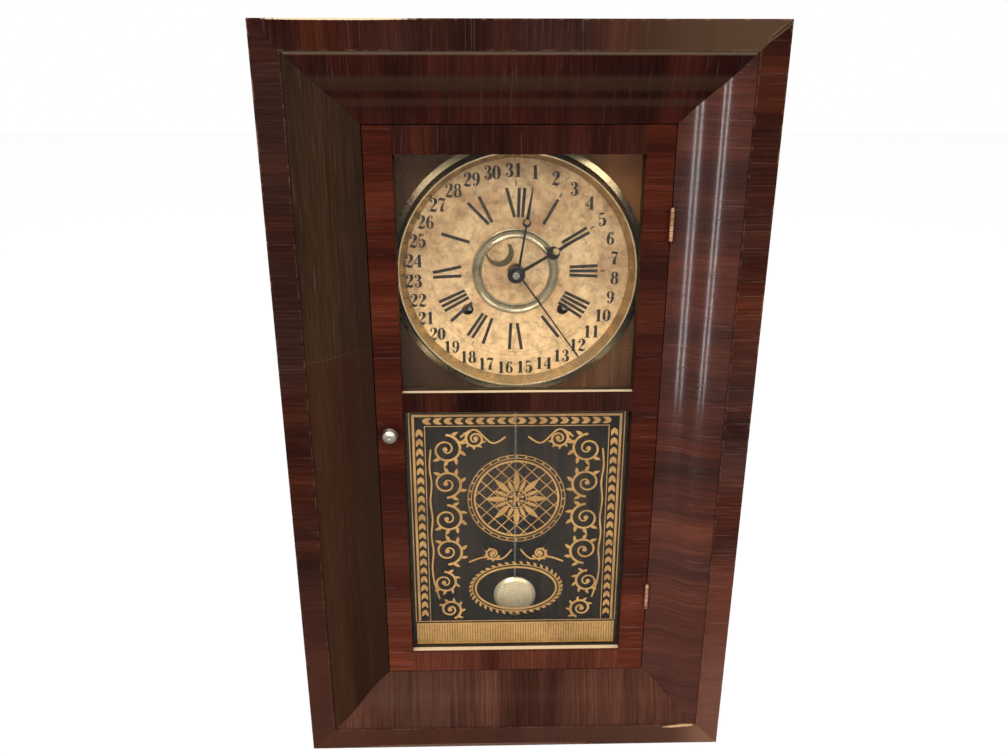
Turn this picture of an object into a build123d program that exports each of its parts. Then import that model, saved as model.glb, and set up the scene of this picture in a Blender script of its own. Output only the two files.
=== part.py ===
from build123d import *
import os
from math import acos, asin, atan2, cos, degrees, hypot, pi, radians, sin, sqrt

# Calendar wall clock: ogee-moulded case, hinged two-light door, dial with three hands,
# spring-driven time and strike movement, pendulum and wire gong.
# Millimetres. X to the right, Y into the clock, Z up. The origin is at the middle of the base.

# Case
CASE_HEIGHT = 660.4
CASE_WIDTH = 393.7
CASE_DEPTH = 114.3
CASE_BOARD = 12.0
BACK_BOARD = 8.0
BAND_WIDTH = 22.0
OGEE_WIDTH = 52.7
MOULDING_DEPTH = 25.0
OGEE_STEP = 1.2
OGEE_RECESS = 19.0
OGEE_SHOULDER = 4.0
OGEE_LIP = 1.5
CHEEK_THICKNESS = 10.0
HANGING_HOLE_RADIUS = 6.0
HANGING_HOLE_BELOW_TOP = 34.4

# Door
DOOR_THICKNESS = 18.0
DOOR_GAP = 0.8
DOOR_BEVEL = 1.2
STILE_WIDTH = 22.5
TOP_RAIL = 22.1
MIDDLE_RAIL = 17.0
BOTTOM_RAIL = 21.0
MIDDLE_RAIL_BASE = 346.0
GLASS_THICKNESS = 2.0
GLASS_SETBACK = 8.2
RABBET_WIDTH = 5.0
GLASS_PLAY = 0.3
STRIP_WIDTH = 4.4
STRIP_DEPTH = 6.0
DOOR_TOP_HINGE_DROP = 77.0
DOOR_BOTTOM_HINGE_RISE = 83.0

# Hinges
HINGE_HEIGHT = 25.4
HINGE_LEAF = 1.0
HINGE_LEAF_DEPTH = 12.0
KNUCKLE_RADIUS = 2.0
KNUCKLE_COUNT = 5
KNUCKLE_GAP = 0.25
HINGE_PIN_RADIUS = 0.95
PIN_CLEARANCE = 0.06

# Knob and catch
KNOB_RADIUS = 7.2
KNOB_HEIGHT = 12.0
KNOB_BASE_HEIGHT = 327.4
SPINDLE_RADIUS = 2.2
CATCH_LENGTH = 18.0
CATCH_WIDTH = 8.0
CATCH_THICKNESS = 3.0
CATCH_POCKET_DEPTH = 7.0

# Dial
DIAL_HEIGHT = 462.5
DIAL_SHIFT = -1.5
DIAL_BOARD = 6.0
DIAL_BOARD_FRONT = -7.0
DIAL_BOARD_BASE = 352.0
DIAL_BOARD_HOLE = 84.0
GROOVE_DEPTH = 4.0
GROOVE_PLAY = 0.2
DIAL_PLATE_RADIUS = 97.0
DIAL_PLATE_THICKNESS = 0.8
CENTRE_HOLE_RADIUS = 6.9
WINDING_HOLE_RADIUS = 5.0
CENTRE_RING_RADIUS = 36.7
CENTRE_RING_BEAD = 0.7
BEZEL_FLANGE_RADIUS = 108.5
BEZEL_RIDGE_RADIUS = 99.6
BEZEL_RIDGE_HEIGHT = 10.5
BEZEL_SHEET = 0.9

# Movement
PLATE_FRONT = 11.0
PLATE_THICKNESS = 1.6
PLATE_SPACING = 28.4
PLATE_HALF_WIDTH = 70.0
PLATE_ABOVE_CENTRE = 34.0
PLATE_BELOW_CENTRE = 84.0
PLATE_CORNER = 8.0
PILLAR_RADIUS = 3.2
PILLAR_NECK = 1.9
PILLAR_INSET = 6.5
PIVOT_RADIUS = 1.2
PIVOT_CLEARANCE = 0.08
ARBOR_RADIUS = 1.4
WINDING_SPREAD = 40.8
WINDING_DROP = 33.4
WINDING_ARBOR_RADIUS = 2.6
WINDING_SQUARE = 3.4
MAINSPRING_RADIUS = 22.6
MAINSPRING_STRIP = 0.9
MAINSPRING_PITCH = 6.2
MAINSPRING_WIDTH = 15.0
RATCHET_RADIUS = 8.6
RATCHET_TEETH = 16
SPOKE_HALF = 1.3

# Wheels: teeth and modules
GREAT_TEETH = 72
GREAT_MODULE = 0.70
SECOND_PINION = 9
SECOND_TEETH = 60
SECOND_MODULE = 0.58
CENTRE_TEETH = 40
THIRD_PINION = 10
THIRD_TEETH = 50
THIRD_MODULE = 0.50
FOURTH_PINION = 10
FOURTH_TEETH = 42
FOURTH_MODULE = 0.48
ESCAPE_PINION = 8
ESCAPE_TEETH = 32
ESCAPE_RADIUS = 10.4
STRIKE_THIRD_TEETH = 48
FLY_PINION = 8
CANNON_TEETH = 12
MINUTE_WHEEL_TEETH = 36
CANNON_MODULE = 0.75
MINUTE_PINION = 10
HOUR_TEETH = 40
HOUR_MODULE = 0.72
DRIVER_PINION = 20
DRIVER_TEETH = 40
DRIVER_MODULE = 0.80
CALENDAR_TEETH = 31
CALENDAR_RADIUS = 16.6

# Hands
MINUTE_ANGLE = 9.3
HOUR_ANGLE = 59.2
CALENDAR_ANGLE = 144.6
MINUTE_LENGTH = 73.4
HOUR_LENGTH = 58.8
CALENDAR_LENGTH = 93.0
HAND_SHEET = 0.7
PIPE_WALL = 0.9
PIPE_CLEARANCE = 0.1

# Pendulum
PENDULUM_DROP = 43.5
VERGE_DROP = 50.0
ESCAPE_DROP = 65.0
CRUTCH_LENGTH = 24.0
ROD_PLANE = 3.5
ROD_RADIUS = 1.0
BOB_HEIGHT = 132.0
BOB_RADIUS = 20.5
BOB_THICKNESS = 11.0
BOB_STEPS = 3
NUT_RADIUS = 4.5

# Strike
HAMMER_SIDE = -24.0
HAMMER_DROP = 70.0
HAMMER_WIRE = 0.9
GONG_HEIGHT = 190.0
GONG_WIRE = 1.3
GONG_PITCH = 7.0
GONG_HALF_TURNS = 7
GONG_FIRST_RADIUS = 14.0
GONG_PLANE = 38.5

# Places worked out from the sizes above
FRONT = -CASE_DEPTH / 2
BACK = CASE_DEPTH / 2
MOULDING_BACK = FRONT + MOULDING_DEPTH
OPENING_INSET = BAND_WIDTH + OGEE_WIDTH
OPENING_HALF = CASE_WIDTH / 2 - OPENING_INSET
INSIDE_BACK = BACK - BACK_BOARD
DOOR_FRONT = FRONT + OGEE_RECESS
DOOR_BACK = DOOR_FRONT + DOOR_THICKNESS
DOOR_HALF = OPENING_HALF - DOOR_GAP
DOOR_BASE = OPENING_INSET + DOOR_GAP
DOOR_TOP = CASE_HEIGHT - OPENING_INSET - DOOR_GAP
LIGHT_HALF = DOOR_HALF - STILE_WIDTH
GLASS_FRONT = DOOR_FRONT + GLASS_SETBACK
HINGE_AXIS_X = OPENING_HALF - DOOR_GAP / 2
HINGE_AXIS_Y = DOOR_FRONT - KNUCKLE_RADIUS - 0.3
HINGE_HEIGHTS = (DOOR_TOP - DOOR_TOP_HINGE_DROP, DOOR_BASE + DOOR_BOTTOM_HINGE_RISE)
KNOB_X = -(LIGHT_HALF + DOOR_HALF) / 2
PLATE_BACK = PLATE_FRONT + PLATE_THICKNESS + PLATE_SPACING
MOVEMENT_BACK = PLATE_BACK + PLATE_THICKNESS
DIAL_FACE = DIAL_BOARD_FRONT - DIAL_PLATE_THICKNESS
RIDGE_FRONT = DIAL_BOARD_FRONT - BEZEL_RIDGE_HEIGHT

os.makedirs("parts", exist_ok=True)


def save(name, *solids):
    """Write one node, as one solid or as a group of separate ones."""
    flat = []
    for item in solids:
        flat.extend(item.solids())
    export_step(flat[0] if len(flat) == 1 else Compound(children=flat), f"parts/{name}.step")


def block(x0, x1, y0, y1, z0, z1):
    """A box between two corners."""
    centre = Pos((x0 + x1) / 2, (y0 + y1) / 2, (z0 + z1) / 2)
    return centre * Box(x1 - x0, y1 - y0, z1 - z0)


def rod(x, z, radius, y0, y1):
    """A round bar along Y."""
    return Pos(x, (y0 + y1) / 2, z) * Rot(90, 0, 0) * Cylinder(radius, y1 - y0)


def upright(x, y, radius, z0, z1):
    """A round bar along Z."""
    return Pos(x, y, (z0 + z1) / 2) * Cylinder(radius, z1 - z0)


def slab(outline, y0, y1):
    """An outline of (x, z) points or a face drawn in X and Z, made thick from y0 to y1."""
    face = outline if isinstance(outline, (Face, Sketch)) else make_face(Polyline(*outline, close=True))
    plane = Plane((0, y1, 0), x_dir=(1, 0, 0), z_dir=(0, -1, 0))
    return extrude(plane * face, amount=y1 - y0)


def turned(profile, x, z):
    """A (radius, y) profile turned about the line along Y through (x, z)."""
    plane = Plane((x, 0, z), x_dir=(1, 0, 0), z_dir=(0, 0, 1))
    return revolve(plane * make_face(Polyline(*profile, close=True)), Axis((x, 0, z), (0, 1, 0)))


def polar(centre, radius, angle):
    """The point at a distance and a counter-clockwise angle, in degrees, from a centre."""
    return (centre[0] + radius * cos(radians(angle)), centre[1] + radius * sin(radians(angle)))


def clock_point(centre, radius, angle):
    """The point at a distance and a clockwise angle from twelve o'clock."""
    return polar(centre, radius, 90 - angle)


def bearing(start, end):
    """The counter-clockwise angle of the line from one point to another, in degrees."""
    return degrees(atan2(end[1] - start[1], end[0] - start[0]))


def meeting(first, first_radius, second, second_radius, side):
    """Where two circles cross, on the given side (+1 left, -1 right) of the line between them."""
    gap = hypot(second[0] - first[0], second[1] - first[1])
    along = (first_radius ** 2 - second_radius ** 2 + gap ** 2) / (2 * gap)
    away = sqrt(first_radius ** 2 - along ** 2)
    line = bearing(first, second)
    return polar(polar(first, along, line), away, line + 90 * side)


# Mouldings: a profile in (distance in from the edge, distance back from the front) is run along
# one side of the case and cut to the mitres.

def run_moulding(profile, inner, outer, length):
    bar = extrude(profile, amount=length)
    corners = [(outer, outer), (inner, inner), (inner, length - inner), (outer, length - outer)]
    return bar & slab(corners, FRONT - 1, BACK)


def frame_of(profile, outer, inner):
    """The four mitred pieces of a moulding: left, right, bottom, top."""
    left = Pos(-CASE_WIDTH / 2, 0, 0) * run_moulding(profile, inner, outer, CASE_HEIGHT)
    flat = run_moulding(profile, inner, outer, CASE_WIDTH)
    bottom = Pos(CASE_WIDTH / 2, 0, 0) * Rot(0, -90, 0) * flat
    top = mirror(bottom, Plane.XY.offset(CASE_HEIGHT / 2))
    return left, mirror(left, Plane.YZ), bottom, top


def ogee_profile():
    """A flat shoulder, a round falling into a hollow, and a narrow lip beside the door."""
    start = (BAND_WIDTH, FRONT + OGEE_STEP)
    shoulder = (BAND_WIDTH + OGEE_SHOULDER, FRONT + OGEE_STEP)
    hollow = (OPENING_INSET - OGEE_LIP, DOOR_FRONT)
    lip = (OPENING_INSET, DOOR_FRONT)
    middle = ((shoulder[0] + hollow[0]) / 2, (shoulder[1] + hollow[1]) / 2)
    edges = [
        Line(start, shoulder),
        TangentArc(shoulder, middle, tangent=(1, 0)),
        TangentArc(hollow, middle, tangent=(-1, 0)),
        Line(hollow, lip),
        Line(lip, (OPENING_INSET, MOULDING_BACK)),
        Line((OPENING_INSET, MOULDING_BACK), (BAND_WIDTH, MOULDING_BACK)),
        Line((BAND_WIDTH, MOULDING_BACK), start),
    ]
    return make_face(edges)


def make_case():
    half, top = CASE_WIDTH / 2, CASE_HEIGHT
    inner = half - CASE_BOARD
    left = block(-half, -inner, MOULDING_BACK, BACK, 0, top)
    save("side_board_left", left)
    save("side_board_right", mirror(left, Plane.YZ))
    save("bottom_board", block(-inner, inner, MOULDING_BACK, BACK, 0, CASE_BOARD))
    save("top_board", block(-inner, inner, MOULDING_BACK, BACK, top - CASE_BOARD, top))
    back = block(-inner, inner, INSIDE_BACK, BACK, CASE_BOARD, top - CASE_BOARD)
    hole = rod(0, top - HANGING_HOLE_BELOW_TOP, HANGING_HOLE_RADIUS, INSIDE_BACK - 1, BACK + 1)
    save("back_board", back - hole)

    band = make_face(Polyline((0, FRONT), (BAND_WIDTH, FRONT), (BAND_WIDTH, MOULDING_BACK),
                              (0, MOULDING_BACK), close=True))
    save("flat_mouldings", *frame_of(band, 0, BAND_WIDTH))
    pieces = frame_of(ogee_profile(), BAND_WIDTH, OPENING_INSET)
    pocket = case_leaf_pockets()
    save("ogee_left", pieces[0])
    save("ogee_right", pieces[1] - pocket)
    save("ogee_bottom", pieces[2])
    save("ogee_top", pieces[3])

    groove = block(OPENING_HALF - 1, OPENING_HALF + GROOVE_DEPTH, DIAL_BOARD_FRONT - GROOVE_PLAY,
                   DIAL_BOARD_FRONT + DIAL_BOARD + GROOVE_PLAY, DIAL_BOARD_BASE, top - CASE_BOARD + 1)
    right = block(OPENING_HALF, OPENING_HALF + CHEEK_THICKNESS, MOULDING_BACK, INSIDE_BACK,
                  CASE_BOARD, top - CASE_BOARD) - groove
    left = mirror(right, Plane.YZ) - catch_pocket()
    save("cheek_left", left)
    save("cheek_right", right - pocket)

    board = block(-OPENING_HALF - GROOVE_DEPTH + GROOVE_PLAY, OPENING_HALF + GROOVE_DEPTH - GROOVE_PLAY,
                  DIAL_BOARD_FRONT, DIAL_BOARD_FRONT + DIAL_BOARD, DIAL_BOARD_BASE, top - CASE_BOARD)
    board -= rod(0, DIAL_HEIGHT, DIAL_BOARD_HOLE, DIAL_BOARD_FRONT - 1, 0)
    save("dial_board", board)


def catch_pocket():
    """The mortise in the left cheek that the catch turns into, open above for its swing."""
    reach = KNOB_X - CATCH_LENGTH
    return block(-OPENING_HALF - CATCH_POCKET_DEPTH, -OPENING_HALF + 1, DOOR_BACK - 0.6,
                 DOOR_BACK + CATCH_THICKNESS + 1.2, KNOB_BASE_HEIGHT - CATCH_WIDTH / 2 - 1.5,
                 KNOB_BASE_HEIGHT + CATCH_LENGTH + 2)


def case_leaf_pockets():
    pockets = []
    for height in HINGE_HEIGHTS:
        pockets.append(block(OPENING_HALF - 1, OPENING_HALF + HINGE_LEAF, DOOR_FRONT - 1,
                             DOOR_FRONT + HINGE_LEAF_DEPTH, height - HINGE_HEIGHT / 2,
                             height + HINGE_HEIGHT / 2))
    return pockets[0] + pockets[1]


def door_leaf_pockets():
    pockets = []
    for height in HINGE_HEIGHTS:
        pockets.append(block(DOOR_HALF - HINGE_LEAF, DOOR_HALF + 1, DOOR_FRONT - 1,
                             DOOR_FRONT + HINGE_LEAF_DEPTH, height - HINGE_HEIGHT / 2,
                             height + HINGE_HEIGHT / 2))
    return pockets[0] + pockets[1]


def make_door():
    lights = ((DOOR_BASE + BOTTOM_RAIL, MIDDLE_RAIL_BASE),
              (MIDDLE_RAIL_BASE + MIDDLE_RAIL, DOOR_TOP - TOP_RAIL))
    rabbets = []
    for low, high in lights:
        rabbets.append(block(-LIGHT_HALF - RABBET_WIDTH, LIGHT_HALF + RABBET_WIDTH, GLASS_FRONT,
                             DOOR_BACK + 1, low - RABBET_WIDTH, high + RABBET_WIDTH))
    cut = rabbets[0] + rabbets[1]

    stile = block(-DOOR_HALF, -LIGHT_HALF, DOOR_FRONT, DOOR_BACK, DOOR_BASE, DOOR_TOP) - cut
    bevel = Polyline((-DOOR_HALF, DOOR_FRONT), (-DOOR_HALF + DOOR_BEVEL, DOOR_BACK),
                     (-DOOR_HALF - 1, DOOR_BACK), close=True)
    bevel = Pos(0, 0, DOOR_BASE) * extrude(make_face(bevel), amount=DOOR_TOP - DOOR_BASE)
    bore = rod(KNOB_X, KNOB_BASE_HEIGHT, SPINDLE_RADIUS + PIN_CLEARANCE, DOOR_FRONT - 1, DOOR_BACK + 1)
    save("door_stile_left", stile - bore - bevel)
    save("door_stile_right", mirror(stile, Plane.YZ) - door_leaf_pockets())
    rails = {
        "door_rail_bottom": (DOOR_BASE, DOOR_BASE + BOTTOM_RAIL),
        "door_rail_middle": (MIDDLE_RAIL_BASE, MIDDLE_RAIL_BASE + MIDDLE_RAIL),
        "door_rail_top": (DOOR_TOP - TOP_RAIL, DOOR_TOP),
    }
    for name, (low, high) in rails.items():
        save(name, block(-LIGHT_HALF, LIGHT_HALF, DOOR_FRONT, DOOR_BACK, low, high) - cut)

    strips = []
    for name, (low, high) in zip(("tablet_glass", "upper_glass"), lights):
        side = LIGHT_HALF + RABBET_WIDTH - GLASS_PLAY
        base, top = low - RABBET_WIDTH + GLASS_PLAY, high + RABBET_WIDTH - GLASS_PLAY
        save(name, block(-side, side, GLASS_FRONT, GLASS_FRONT + GLASS_THICKNESS, base, top))
        near = GLASS_FRONT + GLASS_THICKNESS
        far = near + STRIP_DEPTH
        for x in (-side, side - STRIP_WIDTH):
            strips.append(block(x, x + STRIP_WIDTH, near, far, base, top))
        for z in (base, top - STRIP_WIDTH):
            strips.append(block(-side + STRIP_WIDTH, side - STRIP_WIDTH, near, far, z, z + STRIP_WIDTH))
    save("glazing_strips", *strips)


def make_hinges():
    segment = HINGE_HEIGHT / KNUCKLE_COUNT
    case_leaves, door_leaves, pins = [], [], []
    for height in HINGE_HEIGHTS:
        base = height - HINGE_HEIGHT / 2
        bore = upright(HINGE_AXIS_X, HINGE_AXIS_Y, HINGE_PIN_RADIUS + PIN_CLEARANCE,
                       base - 1, base + HINGE_HEIGHT + 1)
        case_x = (OPENING_HALF, OPENING_HALF + HINGE_LEAF)
        door_x = (DOOR_HALF - HINGE_LEAF, DOOR_HALF)
        case_leaf = block(*case_x, DOOR_FRONT, DOOR_FRONT + HINGE_LEAF_DEPTH, base, base + HINGE_HEIGHT)
        door_leaf = block(*door_x, DOOR_FRONT, DOOR_FRONT + HINGE_LEAF_DEPTH, base, base + HINGE_HEIGHT)
        for k in range(KNUCKLE_COUNT):
            low = base + k * segment + KNUCKLE_GAP / 2
            high = base + (k + 1) * segment - KNUCKLE_GAP / 2
            knuckle = upright(HINGE_AXIS_X, HINGE_AXIS_Y, KNUCKLE_RADIUS, low, high)
            if k % 2 == 0:
                web = block(*case_x, HINGE_AXIS_Y, DOOR_FRONT, low, high)
                case_leaf += knuckle + web
            else:
                web = block(*door_x, HINGE_AXIS_Y, DOOR_FRONT, low, high)
                door_leaf += knuckle + web
        case_leaves.append(case_leaf - bore)
        door_leaves.append(door_leaf - bore)
        pin = upright(HINGE_AXIS_X, HINGE_AXIS_Y, HINGE_PIN_RADIUS, base - 0.6, base + HINGE_HEIGHT)
        head = upright(HINGE_AXIS_X, HINGE_AXIS_Y, HINGE_PIN_RADIUS * 1.7, base + HINGE_HEIGHT,
                       base + HINGE_HEIGHT + 1.0)
        pins.append(pin + head)
    save("hinge_case_leaves", *case_leaves)
    save("hinge_door_leaves", *door_leaves)
    save("hinge_pins", *pins)


def make_knob():
    x, z = KNOB_X, KNOB_BASE_HEIGHT
    seat, rear = DOOR_FRONT - 0.2, DOOR_BACK + CATCH_THICKNESS + 0.3
    front = seat - KNOB_HEIGHT
    profile = [(0, rear), (SPINDLE_RADIUS, rear), (SPINDLE_RADIUS, seat), (SPINDLE_RADIUS + 1.8, seat),
               (SPINDLE_RADIUS + 1.2, seat - KNOB_HEIGHT * 0.28), (KNOB_RADIUS, seat - KNOB_HEIGHT * 0.5),
               (KNOB_RADIUS, seat - KNOB_HEIGHT * 0.6), (KNOB_RADIUS * 0.78, seat - KNOB_HEIGHT * 0.85),
               (KNOB_RADIUS * 0.4, front), (KNOB_RADIUS * 0.16, front - 0.1), (0, front + 0.6)]
    save("door_knob", turned(profile, x, z))
    tip = CATCH_LENGTH - CATCH_WIDTH / 2
    outline = (make_face(Polyline((-CATCH_WIDTH / 2, 0), (CATCH_WIDTH / 2, 0), (CATCH_WIDTH / 2, tip),
                                  (-CATCH_WIDTH / 2, tip), close=True))
               + Circle(CATCH_WIDTH / 2) + Pos(0, tip) * Circle(CATCH_WIDTH / 2))
    catch = Pos(x, 0, z) * slab(outline, DOOR_BACK + 0.1, DOOR_BACK + 0.1 + CATCH_THICKNESS)
    save("door_catch", catch - rod(x, z, SPINDLE_RADIUS, DOOR_BACK - 1, DOOR_BACK + CATCH_THICKNESS + 1))


def make_dial():
    centre = (DIAL_SHIFT, DIAL_HEIGHT)
    plate = rod(0, DIAL_HEIGHT, DIAL_PLATE_RADIUS, DIAL_FACE, DIAL_BOARD_FRONT)
    bead = turned([(CENTRE_RING_RADIUS - 1.4 * CENTRE_RING_BEAD, DIAL_FACE + 0.05),
                   (CENTRE_RING_RADIUS, DIAL_FACE - CENTRE_RING_BEAD),
                   (CENTRE_RING_RADIUS + 1.4 * CENTRE_RING_BEAD, DIAL_FACE + 0.05)], *centre)
    plate += bead
    plate -= rod(*centre, CENTRE_HOLE_RADIUS, DIAL_FACE - 2, 0)
    for side in (-1, 1):
        plate -= rod(DIAL_SHIFT + side * WINDING_SPREAD, DIAL_HEIGHT - WINDING_DROP,
                     WINDING_HOLE_RADIUS, DIAL_FACE - 2, 0)
    save("dial_plate", plate)

    base, ridge, sheet = DIAL_BOARD_FRONT, RIDGE_FRONT, BEZEL_SHEET
    wall = BEZEL_RIDGE_RADIUS + 1.6
    inner_edge = DIAL_PLATE_RADIUS - 3.0
    outside = [
        (BEZEL_FLANGE_RADIUS, base), (BEZEL_FLANGE_RADIUS, base - sheet), (wall + 2.4, base - sheet - 1.2),
        (wall, ridge + 3.5), (BEZEL_RIDGE_RADIUS + 0.5, ridge), (BEZEL_RIDGE_RADIUS - 0.7, ridge + 0.3),
        (inner_edge, DIAL_FACE - 0.1),
    ]
    inside = [(inner_edge + sheet, DIAL_FACE - 0.1), (wall - 1.6, ridge + 2.6), (wall + 0.6, base)]
    save("bezel", turned(outside + inside, 0, DIAL_HEIGHT))


# Wheels. Angles are counter-clockwise as seen from the front of the clock.

def tooth_ring(centre, teeth, module, phase, addendum, dedendum, half_width):
    """Pointed teeth with flat-bottomed gaps, as clock wheels have."""
    pitch_radius = module * teeth / 2
    tip, root = pitch_radius + addendum * module, pitch_radius - dedendum * module
    wide = degrees(half_width * module / root)
    points = []
    for k in range(teeth):
        middle = phase + 360 * k / teeth
        points.append(polar(centre, root, middle - wide))
        points.append(polar(centre, tip, middle))
        points.append(polar(centre, root, middle + wide))
    return points


def wheel(centre, teeth, module, phase, y0, y1, spokes=0, hub=4.0):
    """A brass wheel with straight-flanked teeth, crossed out between its spokes."""
    disc = slab(tooth_ring(centre, teeth, module, phase, 1.0, 1.25, 1.0), y0, y1)
    rim = module * teeth / 2 - 1.25 * module - 1.8
    for k in range(spokes):
        start, end = 360 * k / spokes, 360 * (k + 1) / spokes
        gap, near = degrees(SPOKE_HALF / rim), degrees(SPOKE_HALF / hub)
        window = [polar(centre, hub, end - near), polar(centre, hub, start + near)]
        for step in range(4):
            window.append(polar(centre, rim, start + gap + (end - start - 2 * gap) * step / 3))
        disc -= slab(window, y0 - 1, y1 + 1)
    return disc


def pinion(centre, teeth, module, phase, y0, y1):
    return slab(tooth_ring(centre, teeth, module, phase, 0.9, 1.3, 0.85), y0, y1)


def meshed(phase, teeth, centre, other_teeth, other_centre):
    """The phase that puts a gap of the other wheel where this wheel has a tooth."""
    line = bearing(centre, other_centre)
    pitch = 360 / teeth
    nearest = round((line - phase) / pitch)
    off = phase + nearest * pitch - line
    return line + 180 - off * teeth / other_teeth + 180 / other_teeth


def distance(module, first, second):
    return module * (first + second) / 2


def arbor(centre, y0=PLATE_FRONT, y1=MOVEMENT_BACK, radius=PIVOT_RADIUS):
    """A plain arbor that runs in a hole in each plate. Arbors repeat, so they are eight-sided."""
    return slab([polar(centre, radius, 45 * k) for k in range(8)], y0, y1)


C = (0.0, DIAL_HEIGHT)
TIME_GREAT = (C[0] + WINDING_SPREAD, C[1] - WINDING_DROP)
STRIKE_GREAT = (C[0] - WINDING_SPREAD, C[1] - WINDING_DROP)
VERGE = (0.0, DIAL_HEIGHT - VERGE_DROP)
ESCAPE = (0.0, DIAL_HEIGHT - ESCAPE_DROP)
TIME_SECOND = meeting(C, distance(SECOND_MODULE, SECOND_TEETH, CENTRE_TEETH), TIME_GREAT,
                      distance(GREAT_MODULE, GREAT_TEETH, SECOND_PINION), -1)
TIME_THIRD = polar(TIME_SECOND, distance(SECOND_MODULE, SECOND_TEETH, THIRD_PINION), -95)
TIME_FOURTH = meeting(TIME_THIRD, distance(THIRD_MODULE, THIRD_TEETH, FOURTH_PINION), ESCAPE,
                      distance(FOURTH_MODULE, FOURTH_TEETH, ESCAPE_PINION), 1)
STRIKE_SECOND = polar(STRIKE_GREAT, distance(GREAT_MODULE, GREAT_TEETH, SECOND_PINION), -35)
STRIKE_THIRD = polar(STRIKE_SECOND, distance(SECOND_MODULE, SECOND_TEETH, THIRD_PINION), 70)
FLY = polar(STRIKE_THIRD, distance(THIRD_MODULE, STRIKE_THIRD_TEETH, FLY_PINION), 100)
MINUTE_STUD = polar(C, distance(CANNON_MODULE, CANNON_TEETH, MINUTE_WHEEL_TEETH), 190)
DRIVER_STUD = polar(C, distance(DRIVER_MODULE, DRIVER_PINION, DRIVER_TEETH), 90)
HAMMER = (HAMMER_SIDE, DIAL_HEIGHT - HAMMER_DROP)

PILLARS = [(side * (PLATE_HALF_WIDTH - PILLAR_INSET), DIAL_HEIGHT + drop)
           for side in (-1, 1)
           for drop in (PLATE_ABOVE_CENTRE - PILLAR_INSET, -PLATE_BELOW_CENTRE + PILLAR_INSET)]

# Distances from the front plate at which each wheel stands
GREAT_LAYER = PLATE_FRONT + 7.0
SECOND_LAYER = PLATE_FRONT + PLATE_THICKNESS + 0.8
THIRD_LAYER = PLATE_BACK - 2.4
FOURTH_LAYER = PLATE_BACK - 6.0
WHEEL_SHEET = 1.2
GREAT_SHEET = 1.6


def pivot_hole(centre, radius=PIVOT_RADIUS):
    return rod(*centre, radius + PIVOT_CLEARANCE, PLATE_FRONT - 1, MOVEMENT_BACK + 1)


def make_plates():
    low, high = DIAL_HEIGHT - PLATE_BELOW_CENTRE, DIAL_HEIGHT + PLATE_ABOVE_CENTRE
    outline = chamfer(Rectangle(2 * PLATE_HALF_WIDTH, high - low).vertices(), PLATE_CORNER)
    outline = Pos(0, (low + high) / 2) * outline
    for side in (-1, 1):
        outline -= Pos(side * 50, DIAL_HEIGHT + 10) * Rectangle(20, 18)
        outline -= Pos(side * 44, DIAL_HEIGHT - 70) * Rectangle(22, 10)
    sheet = slab(outline, PLATE_FRONT, PLATE_FRONT + PLATE_THICKNESS)
    holes = [rod(*spot, PILLAR_NECK + PIVOT_CLEARANCE, PLATE_FRONT - 1, MOVEMENT_BACK + 1)
             for spot in PILLARS]
    holes += [pivot_hole(spot) for spot in (C, TIME_SECOND, TIME_THIRD, TIME_FOURTH, ESCAPE,
                                            STRIKE_SECOND, STRIKE_THIRD, FLY, HAMMER)]
    holes += [pivot_hole(spot, WINDING_ARBOR_RADIUS) for spot in (TIME_GREAT, STRIKE_GREAT)]
    front, back = sheet, Pos(0, PLATE_BACK - PLATE_FRONT, 0) * sheet
    for hole in holes:
        front -= hole
        back -= hole
    for stud, reach in ((MINUTE_STUD, 5.4), (DRIVER_STUD, 8.4)):
        front += rod(*stud, PIVOT_RADIUS, PLATE_FRONT - reach - 1.0, PLATE_FRONT)
        front += rod(*stud, PIVOT_RADIUS + 1.2, PLATE_FRONT - 1.0, PLATE_FRONT)
    front += rod(*VERGE, PIVOT_RADIUS, PLATE_FRONT - 5.2, PLATE_FRONT)
    post = (0.0, DIAL_HEIGHT - PENDULUM_DROP + 1.0)
    slot = block(-0.5, 0.5, ROD_PLANE - 3, ROD_PLANE + 3, post[1] - 3, post[1] + 0.9)
    front += rod(*post, 1.8, ROD_PLANE - 2.6, PLATE_FRONT) - slot
    save("front_plate", front)
    save("back_plate", back)
    pillars = []
    for spot in PILLARS:
        post = rod(*spot, PILLAR_RADIUS, PLATE_FRONT + PLATE_THICKNESS, PLATE_BACK)
        pillars.append(post + arbor(spot, PLATE_FRONT - 1.4, INSIDE_BACK, PILLAR_NECK))
    save("plate_pillars", *pillars)


def ratchet(centre, y0, y1):
    points = []
    for k in range(RATCHET_TEETH):
        middle = 360 * k / RATCHET_TEETH
        points.append(polar(centre, RATCHET_RADIUS - 1.6, middle))
        points.append(polar(centre, RATCHET_RADIUS, middle + 2))
    return slab(points, y0, y1)


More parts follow.
